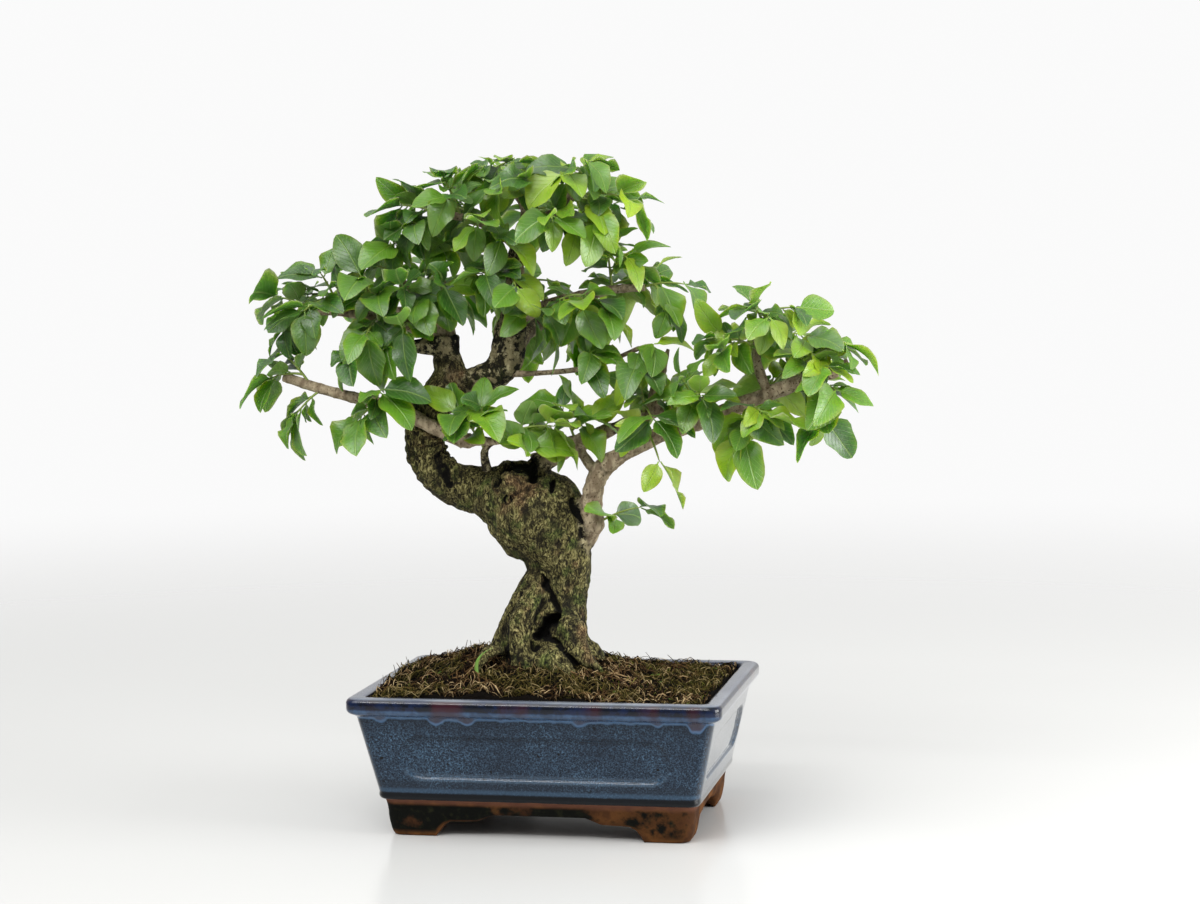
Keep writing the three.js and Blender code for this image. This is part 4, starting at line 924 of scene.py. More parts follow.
def thin_wood():
    """The thin limbs as tubes, closed by flat cuts."""
    routes = {name: route for name, route in WOOD.items() if name not in THICK}
    return [
        limb_shape(route, 14, 1.6, knotty(route_length(route), seed), age=BARK_AGES.get(name, 0.4),
                   relief=0.6, shade=0.0)
        for seed, (name, route) in enumerate({**routes, "cut_end": CUT_BRANCH_END}.items())
    ]


def bark_finish():
    """Bark that is olive-brown with short pale fibres, lichen and moss where it is old, black
    and cream in patches on the middle limbs and smooth grey-tan where it is young. Painted
    shade makes it nearly black in its crevices and hollows and darker where the bark sinks in."""
    material, put, place = started("mossy bark", Roughness=0.85, Specular_IOR_Level=0.2)
    age, shade, relief = (
        put("Attribute", out="Fac", attribute_name=name) for name in ("age", "shade", "relief")
    )
    upright = put("Mapping", {"Vector": place, "Scale": (1, 1, 0.5)})
    fibres = put("TexNoise", lumps(upright, 2.7, 4.0, 0.7, 1.8))
    fine = put("TexNoise", lumps(place, 1.2, 2.0, distortion=1.0))
    olive, green, brown = (put("ValToRGB", [fibres], stops=stops) for stops in (
        [(0.38, "#0d0b04"), (0.7, "#c0b87e"), (0.47, "#38331a"), (0.56, "#7c7548")],
        [(0.36, "#11130a"), (0.7, "#8b9350"), (0.5, "#454e24")],
        [(0.36, "#191007"), (0.7, "#bb9f72"), (0.5, "#5f4a30")],
    ))
    black = put("MapRange", [patches(put, (0.5, 0.36), place, 10, 5.0, 0.7), 0, 1, 0.0, 0.65])
    old = coats(put, olive, (patches(put, (0.5, 0.66), place, 13, 4.0), green),
                (patches(put, (0.54, 0.7), place, 24, 4.0), brown), (black, "#0f0d06"))
    middle = coats(put, "#0d0b06", (patches(put, (0.48, 0.57), place, 9, 5.0, 0.7), "#8a8060"),
                   (patches(put, (0.54, 0.66), place, 5, 4.0, 0.7), "#b5ab86"))
    young = coats(put, "#80705a", (patches(put, (0.35, 0.65), upright, 4, 5.0), "#b4a589"),
                  (patches(put, (0.56, 0.7), place, 1.6, 2.0), "#51432f"))
    # Painted shade from the shade data, broken up by the fibres
    crack_shade = put("Math", [fibres, -1.1, shade], **TIMES_PLUS)
    colour = coats(put, young, (put("MapRange", [age, 0.35, 0.6], **SOFT), middle),
                   (put("MapRange", [age, 0.7, 0.92], **SOFT), old),
                   # Painted shade where the bark lies low
                   (put("MapRange", [relief, 0.46, 0.0, 0.0, 0.75], **SOFT), "#120f07"),
                   (put("MapRange", [crack_shade, -0.5, 0.25], **SOFT), "#070502"))
    rough = put("Math", [fine, 0.4, fibres], **TIMES_PLUS)
    rough = put("Math", [rough, put("MapRange", [age, 0, 1, 0.15, 1.0])], **TIMES)
    return dressed(material, put, rough, 2.2, Base_Color=colour)


def make_trunk():
    add_piece("living_wood", joined([thick_wood(), *thin_wood()]), [bark_finish()], "bark", "trunk",
              sharp_angle=60)


make_trunk()


# Leafy sprays: the branch that each grows from, the place along it from 0 to 1, and a row for
# each green stem with its tip's offset from the seat. Later stems fork from the first one.
SPRAYS = {
    "apex_crown": ["apex_right", 0.97, [[9, -6, 9], [-4, -22, 2]]],
    "apex_east": ["apex_right", 0.74, [[38, -8, 0], [24, -20, -16]]],
    "apex_east_front": ["apex_right", 0.45, [[6, -34, -4], [20, -22, -10]]],
    "apex_east_back": ["apex_right", 0.6, [[16, 34, 8], [34, 24, -2]]],
    "apex_top": ["apex_up", 0.95, [[-12, -4, 6], [10, -14, 8]]],
    "apex_top_front": ["apex_up", 0.55, [[16, -28, 8], [-8, -30, 6]]],
    "apex_top_back": ["apex_up", 0.75, [[-12, 34, 4], [16, 28, 8]]],
    "apex_west": ["apex_left", 0.98, [[-24, -4, 6], [-12, -20, -6]]],
    "apex_west_top": ["apex_left", 0.72, [[-10, -8, 26], [-2, -26, 14]]],
    "apex_west_back": ["apex_left", 0.6, [[-16, 32, 12], [-30, 24, 8]]],
    "apex_west_front": ["apex_left", 0.36, [[-2, -32, 2], [14, -26, -8]]],
    "apex_back_tip": ["apex_back", 0.97, [[-4, 26, 0], [22, 16, 2]]],
    "left_tip": ["left_branch", 0.98, [[-24, -6, 10], [-18, -16, -12]]],
    "left_outer": ["left_branch", 0.78, [[-12, -6, 27], [-26, 8, 12], [-16, -32, 2]]],
    "left_mid_top": ["left_branch", 0.52, [[-6, -16, 28], [-24, -14, 22]]],
    "left_mid_front": ["left_branch", 0.5, [[0, -34, -10], [-14, -28, -22]]],
    "left_inner_front": ["left_branch", 0.26, [[4, -36, 0], [-12, -32, -14]]],
    "left_back_tip": ["left_back", 0.98, [[-28, 8, 6], [-14, 24, -6]]],
    "left_back_top": ["left_back", 0.62, [[-8, 12, 26], [14, 28, 14], [-4, 8, 38]]],
    "left_crown": ["left_up", 0.98, [[-12, 2, 9], [4, -20, 6]]],
    "left_crown_west": ["left_up", 0.75, [[-26, -18, 8], [-32, 2, 6]]],
    "left_crown_front": ["left_up", 0.5, [[4, -36, 10], [-14, -32, 6]]],
    "inner_crown": ["left_inner", 0.97, [[6, -8, 8], [20, 10, 8]]],
    "inner_front": ["left_inner", 0.5, [[10, -36, 4], [-8, -34, -6], [32, -18, 12]]],
    "stem_west_front": ["right_stem", 0.78, [[-14, -30, 4], [8, -32, -6]]],
    "stem_east_front": ["right_stem", 0.6, [[26, -26, 6], [32, -10, -8]]],
    "stem_back": ["right_stem", 0.72, [[-8, 36, 8], [20, 30, 6]]],
    "mid_tip": ["mid_right", 0.98, [[30, -4, 2], [20, -16, -14]]],
    "mid_top": ["mid_right", 0.72, [[-2, -6, 30], [14, -12, 24]]],
    "mid_front": ["mid_right", 0.5, [[4, -32, -6], [22, -24, -12], [-12, -26, -2]]],
    "mid_back": ["mid_right", 0.66, [[8, 34, 4], [28, 24, 8]]],
    "back_tip": ["back_limb", 0.97, [[16, 18, 4], [-14, 20, -2]]],
    "back_west": ["back_limb", 0.7, [[-34, 14, 8], [-26, 22, -12]]],
    "back_east": ["back_limb", 0.55, [[34, 16, 6], [30, 2, -10]]],
    "twig_tip": ["mid_twig", 0.97, [[14, -6, 4], [6, -14, -10]]],
    "twig_mid": ["mid_twig", 0.62, [[8, -14, 12]]],
    "head_east": ["head_twig", 0.95, [[40, -8, 8], [24, -14, -8]]],
    "head_west": ["head_twig", 0.5, [[-14, -16, 26], [2, -14, 30]]],
    "second_top": ["second_right", 0.36, [[-8, -14, 26], [14, -18, 18]]],
    "second_mid": ["second_right", 0.68, [[2, -22, 22], [10, -28, 0], [26, -4, 14]]],
    "second_back": ["second_right", 0.72, [[10, 32, 10], [-14, 30, 14]]],
    "right_inner": ["main_right", 0.52, [[-6, -22, 8], [8, -20, -14]]],
    "right_rise": ["main_right", 0.64, [[-10, -18, 30], [4, -24, 18]]],
    "right_crown": ["right_up", 0.97, [[-4, -4, 9], [24, -8, 8], [8, -26, 2]]],
    "right_crown_west": ["right_up", 0.62, [[-26, -10, 8], [-20, -24, -2]]],
    "right_crown_back": ["right_up", 0.7, [[4, 34, 4], [26, 24, 4]]],
    "right_outer_top": ["main_right", 0.86, [[8, -12, 32], [30, -8, 26], [20, -24, 12]]],
    "right_outer_low": ["main_right", 0.9, [[6, -14, -26], [16, -20, -8]]],
    "right_low": ["main_right", 0.76, [[-4, -16, -22], [10, -26, -6]]],
    "right_back": ["main_right", 0.8, [[-2, 36, 8], [26, 30, 6], [20, 10, 20]]],
    "low_twig": ["main_right", 0.1, [[40, -8, 18]]],
    "cut_west": ["cut_branch", 0.86, [[-18, -4, 22], [-26, -2, 6]]],
    "cut_low": ["cut_branch", 0.8, [[-16, -8, -16]]],
    "cut_inner": ["cut_branch", 0.5, [[-10, -12, -8], [4, -14, 10]]],
}
LEAF_LENGTH = 28
STEM_HALF, STEM_TIP_HALF, STEM_LIFT, STEM_FORK = 1.05, 0.75, 0.14, 0.28
STALK_SHARE, FIRST_PAIR, PAIR_SPACING = 0.12, 0.5, 13
# How far the pairs are turned round their stem, in turn, and by how much more or less
PAIR_ROLLS, ROLL_SWAY = (-0.3, 0.9), 0.35
# A stem whose tip lies deeper than its start by this much hangs, and so do its leaves
HANGING_BELOW, HANGING_DROOP = -9, 0.45
# How far leaves stay off the wood's skin and off the middle of a stem
WOOD_LIMIT, STEM_LIMIT = 1.2, 2.4
# For the leaves of a round: their size, how many poses are tried for each, and how far they stay
# off the leaves of other sprays and of their own. The later rounds also say where on each stem.
FIRST_ROUND = (1.0, 10, 3.4, 2.0)
LATER_ROUNDS = [((1.0, 8, 1.7, 1.6), (0.42, 0.85)), ((0.62, 5, 1.7, 1.6), (0.62,))]
LAYOUT_SEED, CROWD_SIZE = 61, 60000
# The box of the solids, which holds all blades, and the one that leaves are laid out in
CAD_LOW, CAD_HIGH = (np.array(cad_box) - MIDDLE) / MM
CROWN_LOW, CROWN_HIGH = np.array([-217, -84, 196]), np.array([219, 112, 451])
# What is drawn for each leaf: how far it spreads, droops and turns, its length, half width,
# arch and fold, and what is added to the way it faces, along x, y and z
POSES = [
    (0.7, 1.15), (0, 0.5), (-0.4, 0.4), (0.72, 1.28), (0.29, 0.345), (0.06, 0.34), (0.08, 0.42),
    (-0.45, 0.45), (-0.45, 0.45), (-0.3, 0.3),
]
# Where the hollow in the trunk's head is seen, and how far round it leaves are lifted
HEAD_FRONT, HEAD_VIEW = np.array([-16, -34, 232]), np.array([34, 40, 26])
# Where a leaf is tried for room: shares of the way to its tip, and of its half width
SAMPLE_STATIONS = np.array([0.16, 0.3, 0.44, 0.58, 0.72, 0.86, 1])
SAMPLE_SIDES = np.array([-1, -0.5, 0, 0.5, 1])
# Where the crown stays open to the camera: x and z in the plane of the trunk, and a radius
GAPS_IN_CROWN = {
    "under_head": (0, 376, 16),
    "right_of_head": (60, 400, 16),
    "over_right_shelf_tip": (88, 384, 14),
    "between_right_shelf_and_far_clump": (100, 360, 18),
    "over_far_clump": (152, 360, 12),
    "beside_far_clump": (202, 358, 12),
    "left_of_head": (-128, 420, 14),
    "over_left_shelf": (-150, 394, 14),
    "end_of_left_shelf": (-200, 374, 12),
    "beside_left_shelf": (-210, 334, 10),
    "over_cut_branch": (-145, 300, 9),
    "under_cut_branch": (-150, 277, 10),
    "beside_left_limb": (-111, 256, 8),
    "between_upper_stem_and_twig": (8, 311, 7),
    "under_right_shelf": (66, 330, 12),
    "over_right_limb_leaves": (86, 318, 12),
    "under_right_limb_leaves": (97, 246, 14),
    "in_far_clump_foot": (131, 246, 10),
    "under_right_limb": (70, 234, 18),
    "round_low_twig": (60, 212, 24),
}


class Draws:
    """Numbers that come out the same on every run: each is 16807 times the last one, kept
    under 2147483647."""

    def __init__(self, seed):
        self.state = seed

    def between(self, low, high):
        self.state = self.state * 16807 % 2147483647
        return low + (high - low) * self.state / 2147483647


class Stem:
    """A green stem: the quadratic Bezier curve (1-u)^2 a + 2u(1-u) b + u^2 c, b lifted a little."""

    def __init__(self, start, offset):
        self.start, self.offset = start, offset
        self.middle = start + offset / 2 + UP * STEM_LIFT * np.linalg.norm(offset)
        self.droop = HANGING_DROOP if offset[2] < HANGING_BELOW else 0

    def point(self, u):
        u = np.asarray(u, float)[..., None]
        return (1 - u) ** 2 * self.start + 2 * u * (1 - u) * self.middle + u * u * (self.start + self.offset)

    def tangent(self, u):
        return unit(self.point(min(1, u + 1e-4)) - self.point(max(0, u - 1e-4)))


class Crowd:
    """Points that leaves keep clear of. Each row has a place, how far to stay off it, whose it
    is, and its share of the way along its own leaf."""

    def __init__(self):
        self.rows, self.count = np.zeros((CROWD_SIZE, 6)), 0

    def add(self, points, limits, owner=-1, shares=1.0):
        rows = self.rows[self.count:self.count + len(points)]
        rows[:, :3], rows[:, 3], rows[:, 4], rows[:, 5] = points, limits, owner, shares
        self.count += len(points)

    def leaves_clear(self, samples, shares, owner, own_limit):
        """Whether samples lie in the crown's box and off all points. Leaves of one spray may
        touch at their stalks."""
        if (samples < CROWN_LOW).any() or (samples > CROWN_HIGH).any():
            return False
        rows = self.rows[:self.count]
        low, high = samples.min(0) - 12, samples.max(0) + 12
        rows = rows[((rows[:, :3] >= low) & (rows[:, :3] <= high)).all(1)]
        gaps = ((samples[:, None] - rows[:, :3]) ** 2).sum(-1)
        at_stalk = np.minimum(shares[:, None], rows[:, 5]) < 0.4
        limits = np.where(rows[:, 4] == owner, np.where(at_stalk, 0, own_limit), rows[:, 3])
        return bool((gaps >= limits ** 2).all())


def blade_shape(s):
    """The blade's half width as a share of its widest: sin(pi v^0.8) (1 - 0.35 v^2), where v
    goes from 0 at the stalk's end to 1 at the tip."""
    v = np.maximum(0, (s - STALK_SHARE) / (1 - STALK_SHARE))
    return np.sin(math.pi * v ** 0.8) * (1 - 0.35 * v * v)


def full_blade(s):
    """The rounder outline of the leaves that are shown, with a short drawn-out point."""
    v = np.maximum(0, (s - STALK_SHARE) / (1 - STALK_SHARE))
    return np.sin(math.pi * v ** 0.82) ** 0.54 * (1 - 0.22 * v ** 2.5)


def leaf_samples(leaf):
    """The points of a leaf that have to be clear, and their shares of the way to its tip."""
    s = np.append(np.repeat(SAMPLE_STATIONS[:-1], 5), 1)[:, None]
    side = np.append(np.tile(SAMPLE_SIDES, 6), 0)[:, None]
    reach = leaf["half"] * blade_shape(s)
    raised = -leaf["length"] * leaf["arch"] * s * s + leaf["fold"] * reach * np.abs(side)
    points = leaf["base"] + leaf["axis"] * leaf["length"] * s + leaf["normal"] * raised
    return points + leaf["across"] * reach * side, s[:, 0]


def leaf_candidate(draws, stem, u, lateral, outward, attempt, size):
    """A leaf at the share u of its stem, in a drawn pose. Each new attempt is a little smaller
    and turns further, and higher up a stem the leaves point more along it."""
    along = stem.tangent(u)
    values = [draws.between(*limits) for limits in POSES]
    spread, droop, turn, length, half, arch, fold = values[:7]
    length *= LEAF_LENGTH * size * (1 - 0.04 * attempt)
    axis = lateral * spread + along * (0.35 + 0.55 * u) - UP * (droop + stem.droop)
    axis = unit(axis + np.cross(along, lateral) * turn * (1 + 0.25 * attempt))
    normal = outward * (0.5 + 0.6 * stem.droop) + UP * 0.8 + np.array(values[7:])
    normal = unit(normal - axis * (normal @ axis))
    half_stem = STEM_HALF + (STEM_TIP_HALF - STEM_HALF) * u
    return {
        "base": stem.point(u) + lateral * half_stem, "axis": axis, "normal": normal,
        "across": np.cross(normal, axis), "length": length, "half": length * half, "arch": arch,
        "fold": fold,
    }


def leaf_pair(draws, crowd, owner, stem, u, roll, room):
    """The leaves on both sides of a stem: of a few drawn poses, each takes the first that is
    clear of everything, or is left out."""
    size, tries, limit, own_limit = room
    outward = unit(stem.offset * [1, 1, 0])
    level = np.cross(outward, UP)
    along = stem.tangent(u)
    roll += draws.between(-ROLL_SWAY, ROLL_SWAY)
    lateral = level * math.cos(roll) + np.cross(level, along) * math.sin(roll)
    lateral = unit(lateral - along * (lateral @ along))
    pair = []
    for way in (1, -1):
        for attempt in range(tries):
            leaf = leaf_candidate(draws, stem, u, lateral * way, outward, attempt, size)
            samples, shares = leaf_samples(leaf)
            if crowd.leaves_clear(samples, shares, owner, own_limit):
                crowd.add(samples, limit, owner, shares)
                pair.append(leaf)
                break
    return pair


def spray_stems(branch, place, offsets):
    """A spray's first stem, from its seat on a branch, and the others, which fork from it."""
    seat = along_route(WOOD[branch], np.array([place]))[0, :3]
    first, *rest = (np.array(offset, float) for offset in offsets)
    main = Stem(seat, first)
    fork = main.point(STEM_FORK)
    return [main, *(Stem(fork, offset + seat - fork) for offset in rest)]


def lay_out_sprays():
    """For each spray its stems and its leaves: first the pairs up each stem that the solids
    have too, then more of them and smaller ones wherever there is room between them."""
    crowd, draws = Crowd(), Draws(LAYOUT_SEED)
    for route in WOOD.values():
        shares = np.linspace(0, 1, 8 * (len(route) - 1) + 1)
        radii = np.interp(shares, np.linspace(0, 1, len(route)), np.array(route)[:, 3])
        crowd.add(along_route(route, shares)[:, :3], radii + WOOD_LIMIT)
    sprays = [(owner, spray_stems(*row), []) for owner, row in enumerate(SPRAYS.values())]
    for owner, stems, leaves in sprays:
        for stem in stems:
            crowd.add(stem.point(np.arange(2, 11) / 10), STEM_LIMIT, owner, 0)
    for owner, stems, leaves in sprays:
        for stem in stems:
            count = max(1, round(np.linalg.norm(stem.offset) / PAIR_SPACING) - 1)
            for i in range(count):
                u = 1 if count == 1 else FIRST_PAIR + (1 - FIRST_PAIR) * i / (count - 1)
                leaves += leaf_pair(draws, crowd, owner, stem, u, PAIR_ROLLS[i % 2], FIRST_ROUND)
    for room, places in LATER_ROUNDS:
        for owner, stems, leaves in sprays:
            for stem in stems:
                for u in places:
                    pair = leaf_pair(draws, crowd, owner, stem, u, draws.between(0, 6.28), room)
                    leaves += [leaf for leaf in pair if not fills_gap(leaf)]
    for owner, stems, leaves in sprays:
        for leaf in leaves:
            lift_off_head(leaf)
    return [(stems, leaves) for owner, stems, leaves in sprays]


def fills_gap(leaf):
    """Whether the camera sees a leaf's middle in one of the gaps."""
    camera = np.array(CAMERA_PLACE)
    way = leaf["base"] + leaf["axis"] * leaf["length"] * 0.55 - camera
    seen = camera - way * camera[1] / way[1]
    return any(math.dist((x, z), seen[[0, 2]]) < radius for x, z, radius in GAPS_IN_CROWN.values())


def lift_off_head(leaf):
    """Raises a leaf that would hang in front of the hollow in the trunk's head."""
    away = np.linalg.norm((leaf["base"] + leaf["axis"] * leaf["length"] - HEAD_FRONT) / HEAD_VIEW)
    if away < 1:
        leaf["axis"] = unit(leaf["axis"] * [1, 1, 0.1] + UP * 0.5 * (1 - away))
        leaf["normal"] = unit(leaf["normal"] - leaf["axis"] * (leaf["normal"] @ leaf["axis"]))
        leaf["across"] = np.cross(leaf["normal"], leaf["axis"])


# A leaf's blade: rows of five points from the stalk to the last one at the tip, above and,
# between the shared edges, below
LEAF_ROWS = np.array([0, 0.08, 0.13, 0.16, 0.22, 0.32, 0.44, 0.56, 0.68, 0.79, 0.88, 0.95])
LEAF_COLUMNS = np.array([-1, -0.52, 0, 0.52, 1])
LEAF_HALF_THICKNESS = 0.22
# What else is drawn for each leaf that is shown: how high its edge waves and where the wave
# starts, how far it bends sideways, curls down at the tip and twists, and how much wider it is
VARIATION = [(0.05, 0.32), (0, 6.28), (-0.16, 0.16), (-0.1, 0.8), (-0.65, 0.65), (0.92, 1.2)]
# From where to where along x the leaves of the left side, darkened as painted shade, give
# way to the others, and how light their greens are there
LEFT_SHADE_SPAN, LEFT_SHADE_TINTS = (-150, 10), (0.45, 1)
UPPER, UNDER, GREEN_STEM = range(3)


def leaf_faces():
    """The faces of one leaf and their finishes: the upper skin with its tip, the lower one
    turned over, and what closes the stalk's end between them."""
    rows, tip = len(LEAF_ROWS), 5 * len(LEAF_ROWS)
    upper = grid_faces(rows, 5, False)[:, [0, 3, 2, 1]]
    last = tip - 5 + np.arange(4)
    cap = np.stack([last, np.full(4, tip), last + 1, np.full(4, -1)], 1)
    upper = np.concatenate([upper, cap])
    under = np.arange(tip + 1)
    inner = np.arange(tip).reshape(rows, 5)[:, 1:4]
    under[inner.ravel()] = tip + 1 + np.arange(3 * rows)
    lower = np.where(upper < 0, -1, under[upper])
    lower = np.where(lower[:, 3:] < 0, lower[:, [0, 2, 1, 3]], lower[:, [0, 3, 2, 1]])
    close = np.array([[0, 1, under[1], -1], [1, 2, under[2], under[1]], [2, 3, under[3], under[2]],
                      [3, 4, under[3], -1]])
    finish = np.repeat([UPPER, UNDER, GREEN_STEM], [len(upper), len(lower), len(close)])
    return np.concatenate([upper, lower, close]), finish


def leaves_shape(leaves):
    """All leaves of a spray at once. At the share s of the way to the tip and the side t the
    blade lies L s along, w t across and -L arch s^2 + fold w |t|^1.3 up, w being its half width
    there. Waves along its edge, a curled tip, a twist and a sideways bend come on top."""
    count, rows = len(leaves), len(LEAF_ROWS)
    base, axis, sideways, normal, length, half, arch, fold = (
        np.array([leaf[name] for leaf in leaves]).reshape(count, 1, 1, -1)
        for name in ("base", "axis", "across", "normal", "length", "half", "arch", "fold")
    )
    waves, phase, bend, curl, twist, swell = (
        rng.uniform(*limits, (count, 1, 1, 1)) for limits in VARIATION
    )
    s = np.append(LEAF_ROWS, 1)[None, :, None, None]
    t = LEAF_COLUMNS[None, None, :, None]
    width = full_blade(np.minimum(s, 0.999))
    reach = np.maximum(half * swell * width, 0.5 * (s < 0.9)) * (s < 1)
    ripple = waves * reach * t * t * np.sin(2 * math.pi * (1.7 * s) + phase + 1.9 * np.sign(t))
    raised = -length * arch * s * s + fold * reach * np.abs(t) ** 1.3 + ripple
    raised = raised - length * curl * np.maximum(0, s - 0.5) ** 2 + np.sin(twist * s) * reach * t
    across = np.cos(twist * s) * reach * t + length * bend * s * s
    thick = LEAF_HALF_THICKNESS * (1 - np.abs(t)) ** 0.5 * (s < 1) + 0.25 * (s < 0.12) * (np.abs(t) < 0.9)
    groove = 0.16 * (t == 0) * (s > 0.12) * (s < 0.8)

    def laid(lift):
        return axis * (length * s + 0 * t) + sideways * across + normal * (raised + lift) + base

    above, below = laid(thick - groove), laid(-thick - 1.6 * groove)
    points = np.concatenate([
        above[:, :rows].reshape(count, -1, 3), above[:, rows, 2:3],
        below[:, :rows, 1:4].reshape(count, -1, 3),
    ], 1)
    uv = np.concatenate(np.broadcast_arrays(width * t, s), -1)[0]
    uv = np.concatenate([uv[:rows].reshape(-1, 2), uv[rows, 2:3], uv[:rows, 1:4].reshape(-1, 2)])
    faces, finish = leaf_faces()
    size = points.shape[1]
    # A random green for each leaf, darkened at the left as painted shade
    tints = rng.uniform(0, 1, count) * np.interp(base.reshape(count, 3)[:, 0], LEFT_SHADE_SPAN, LEFT_SHADE_TINTS)
    points = np.clip(points.reshape(-1, 3), CAD_LOW, CAD_HIGH)
    return shape(points, copies(faces, count, size), np.tile(finish, count),
                 uv=np.tile(uv, (count, 1)), tint=np.repeat(tints, size))


def stem_shape(stem):
    u = np.linspace(0, 1.0, 12)
    radii = np.interp(u, [0, 0.85, 1], [1.0, 0.62, 0.3])
    return shape(*tube(stem.point(u), radii, 6, None, [0.31, 0.95, 0.05]), finish=GREEN_STEM, tint=0.5)


def leaf_finish(name, dark, middle, light, vein, **surface):
    """A leaf's skin: each leaf has its own green, with lighter veins in shallow furrows."""
    material, put, place = started(name, Subsurface_Radius=(0.6, 1.0, 0.25), **surface)
    parts = put("SeparateXYZ", [put("UVMap")]).node.outputs
    across = put("Math", [parts["X"]], operation="ABSOLUTE")
    slanted = put("Math", [across, -0.42, parts["Y"]], **TIMES_PLUS)
    comb = put("Math", [put("Math", [slanted, 8.0], **TIMES), 0.5], operation="PINGPONG")
    veins = put("Math", [put("MapRange", [across, 0.07, 0.02], **SOFT),
                         put("MapRange", [comb, 0.1, 0.02, 0.0, 0.35], **SOFT)], operation="MAXIMUM")
    tint = put("Attribute", out="Fac", attribute_name="tint")
    tint = put("Math", [tint, 0.25], operation="SUBTRACT")
    tint = put("Math", [put("TexNoise", lumps(place, 22, 2.0)), 0.5, tint], **TIMES_PLUS)
    green = put("ValToRGB", [tint], stops=[(0.05, dark), (0.98, light), (0.62, middle)])
    height = put("Math", [put("TexNoise", lumps(place, 4, 2.0)), veins], operation="SUBTRACT")
    colour = coats(put, green, (put("Math", [veins, 0.4], **TIMES), vein))
    return dressed(material, put, height, 0.3, Base_Color=colour)


def make_foliage():
    """One piece for each spray: its leaves, whose two sides differ, and its stems."""
    finishes = [
        leaf_finish("waxy leaf", "#28500a", "#558112", "#8aa814", "#809f36", Roughness=0.4,
                    Specular_IOR_Level=0.75, Sheen_Weight=0.06, Sheen_Roughness=0.4,
                    Subsurface_Weight=0.4, Subsurface_Scale=0.002),
        leaf_finish("leaf underside", "#4d7030", "#6f9040", "#98b044", "#96ad64", Roughness=0.5,
                    Specular_IOR_Level=0.35, Subsurface_Weight=0.4, Subsurface_Scale=0.002),
        leaf_finish("green stem", "#5d7a2c", "#7d9440", "#8f9c4a", "#8f9c4a", Roughness=0.5),
    ]
    for name, (stems, leaves) in zip(SPRAYS, lay_out_sprays()):
        made = joined([leaves_shape(leaves), *(stem_shape(stem) for stem in stems)])
        add_piece(f"leafy_{name}", made, finishes, "foliage", f"spray_{name}", sharp_angle=60)


make_foliage()


# Soil: the mound, and on it crumbs, a tangle of fine roots, sticks, moss and seedlings
SOIL_EDGE_LEVEL, MOUND_HEIGHT = 91, 25
MOUND_CENTRE, MOUND_SPREAD = np.array([-25, 0]), np.array([54, 48])
SOIL_INSET, SOIL_CORNER = 13.7, 5
SOIL_HALVES = np.array([POT_LENGTH, POT_WIDTH]) / 2 - SOIL_INSET
# The mound's skin below its edge: inset and level
SOIL_FOOT_ROWS = [(28.5, 25.3), (25.5, 37), (SOIL_INSET, 86)]
SOIL, MOSS, SEEDLING = range(3)
# Roots that lie on the ground: how many, the share of its width that they are spread over, how
# far that strip is moved, the points of each, and the limits of their lengths, radii, bows and
# tints
LOOSE_ROOTS = [
    (2200, 1, 0, 5, [(7, 18), (0.25, 0.5), (0.3, 4.2), (0.05, 0.5)]),
    (1950, 1, 0, 5, [(5, 15), (0.22, 0.4), (0.8, 5.5), (0.45, 1)]),
    (340, 0.12, 9 - POT_WIDTH / 2 + SOIL_INSET, 5, [(6, 16), (0.25, 0.5), (1.5, 5), (0.2, 1)]),
    (300, 1, 0, 6, [(10, 30), (0.5, 0.9), (0.2, 4), (0.3, 0.85)]),
]
# Longer ones that run out from the trunk's foot
LONG_ROOTS, LONG_ROOT_POINTS = 64, 9
LONG_ROOT_LIMITS = [(28, 60), (0.5, 1.1), (0.5, 3), (0.4, 0.85)]
TRUNK_FOOT, TRUNK_FOOT_HALVES = [-10, 0], [42, 40]
# What stands up out of the ground: how many, their lean, and the limits of their heights, radii
# and tints
STICKS = (260, 0.6, [(3, 9), (0.25, 0.6), (0.2, 0.8)])
MOSS_STALKS = (900, 0.4, [(2, 4.5), (0.2, 0.34), (0, 1)])
CRUMBS, SEEDLINGS = 900, 14
# Seedlings that stand at the front and the side, besides the scattered ones
PLACED_SEEDLINGS = [[-52, -72], [-20, -76], [52, -66], [58, -60], [-75, -40]]


def mound_height(xy):
    """The height of a bell round the trunk's foot."""
    return MOUND_HEIGHT * np.exp(-(((xy - MOUND_CENTRE) / MOUND_SPREAD) ** 2).sum(-1) / 2)


def soil_height(xy):
    """A bell-shaped mound on a level bed with low waves and small crumbs."""
    x, y = xy[..., 0], xy[..., 1]
    waves = 0.9 * np.sin(0.21 * x + 0.13 * y) + 0.8 * np.sin(0.17 * x - 0.24 * y + 1.3)
    place = np.stack([x, y, 0 * x], -1)
    rough = 1.7 * layered(place, 9, 31)
    return SOIL_EDGE_LEVEL + mound_height(xy) + waves + rough + 0.8 * noise(place, 2.6, 35)


def in_pot(xy):
    """Keeps points on the ground inside the pot's rim."""
    return np.clip(xy, 1 - SOIL_HALVES, SOIL_HALVES - 1)


def scattered(count):
    return rng.uniform(-0.5, 0.5, (count, 2)) * (2 * (SOIL_HALVES - 1.5))


def mound_shape():
    """The soil from the pot's floor up to its edge, and over it the mound's surface."""
    outline = PotOutline()

    def ring(inset):
        return outline.ring(inset, SOIL_CORNER)[::2]

    edge = ring(SOIL_INSET)
    low = [np.column_stack([ring(inset), np.full(len(edge), z)]) for inset, z in SOIL_FOOT_ROWS]
    shares = np.linspace(1, 0.03, 48) ** 0.8
    top = [np.column_stack([edge * share, soil_height(edge * share)]) for share in shares]
    points, faces = closed_rings(np.array(low + top))
    # A tint near 0 makes the mound nearly black: the soil's own dark and painted shade between the roots
    return shape(points, faces, finish=SOIL, tint=0.03)


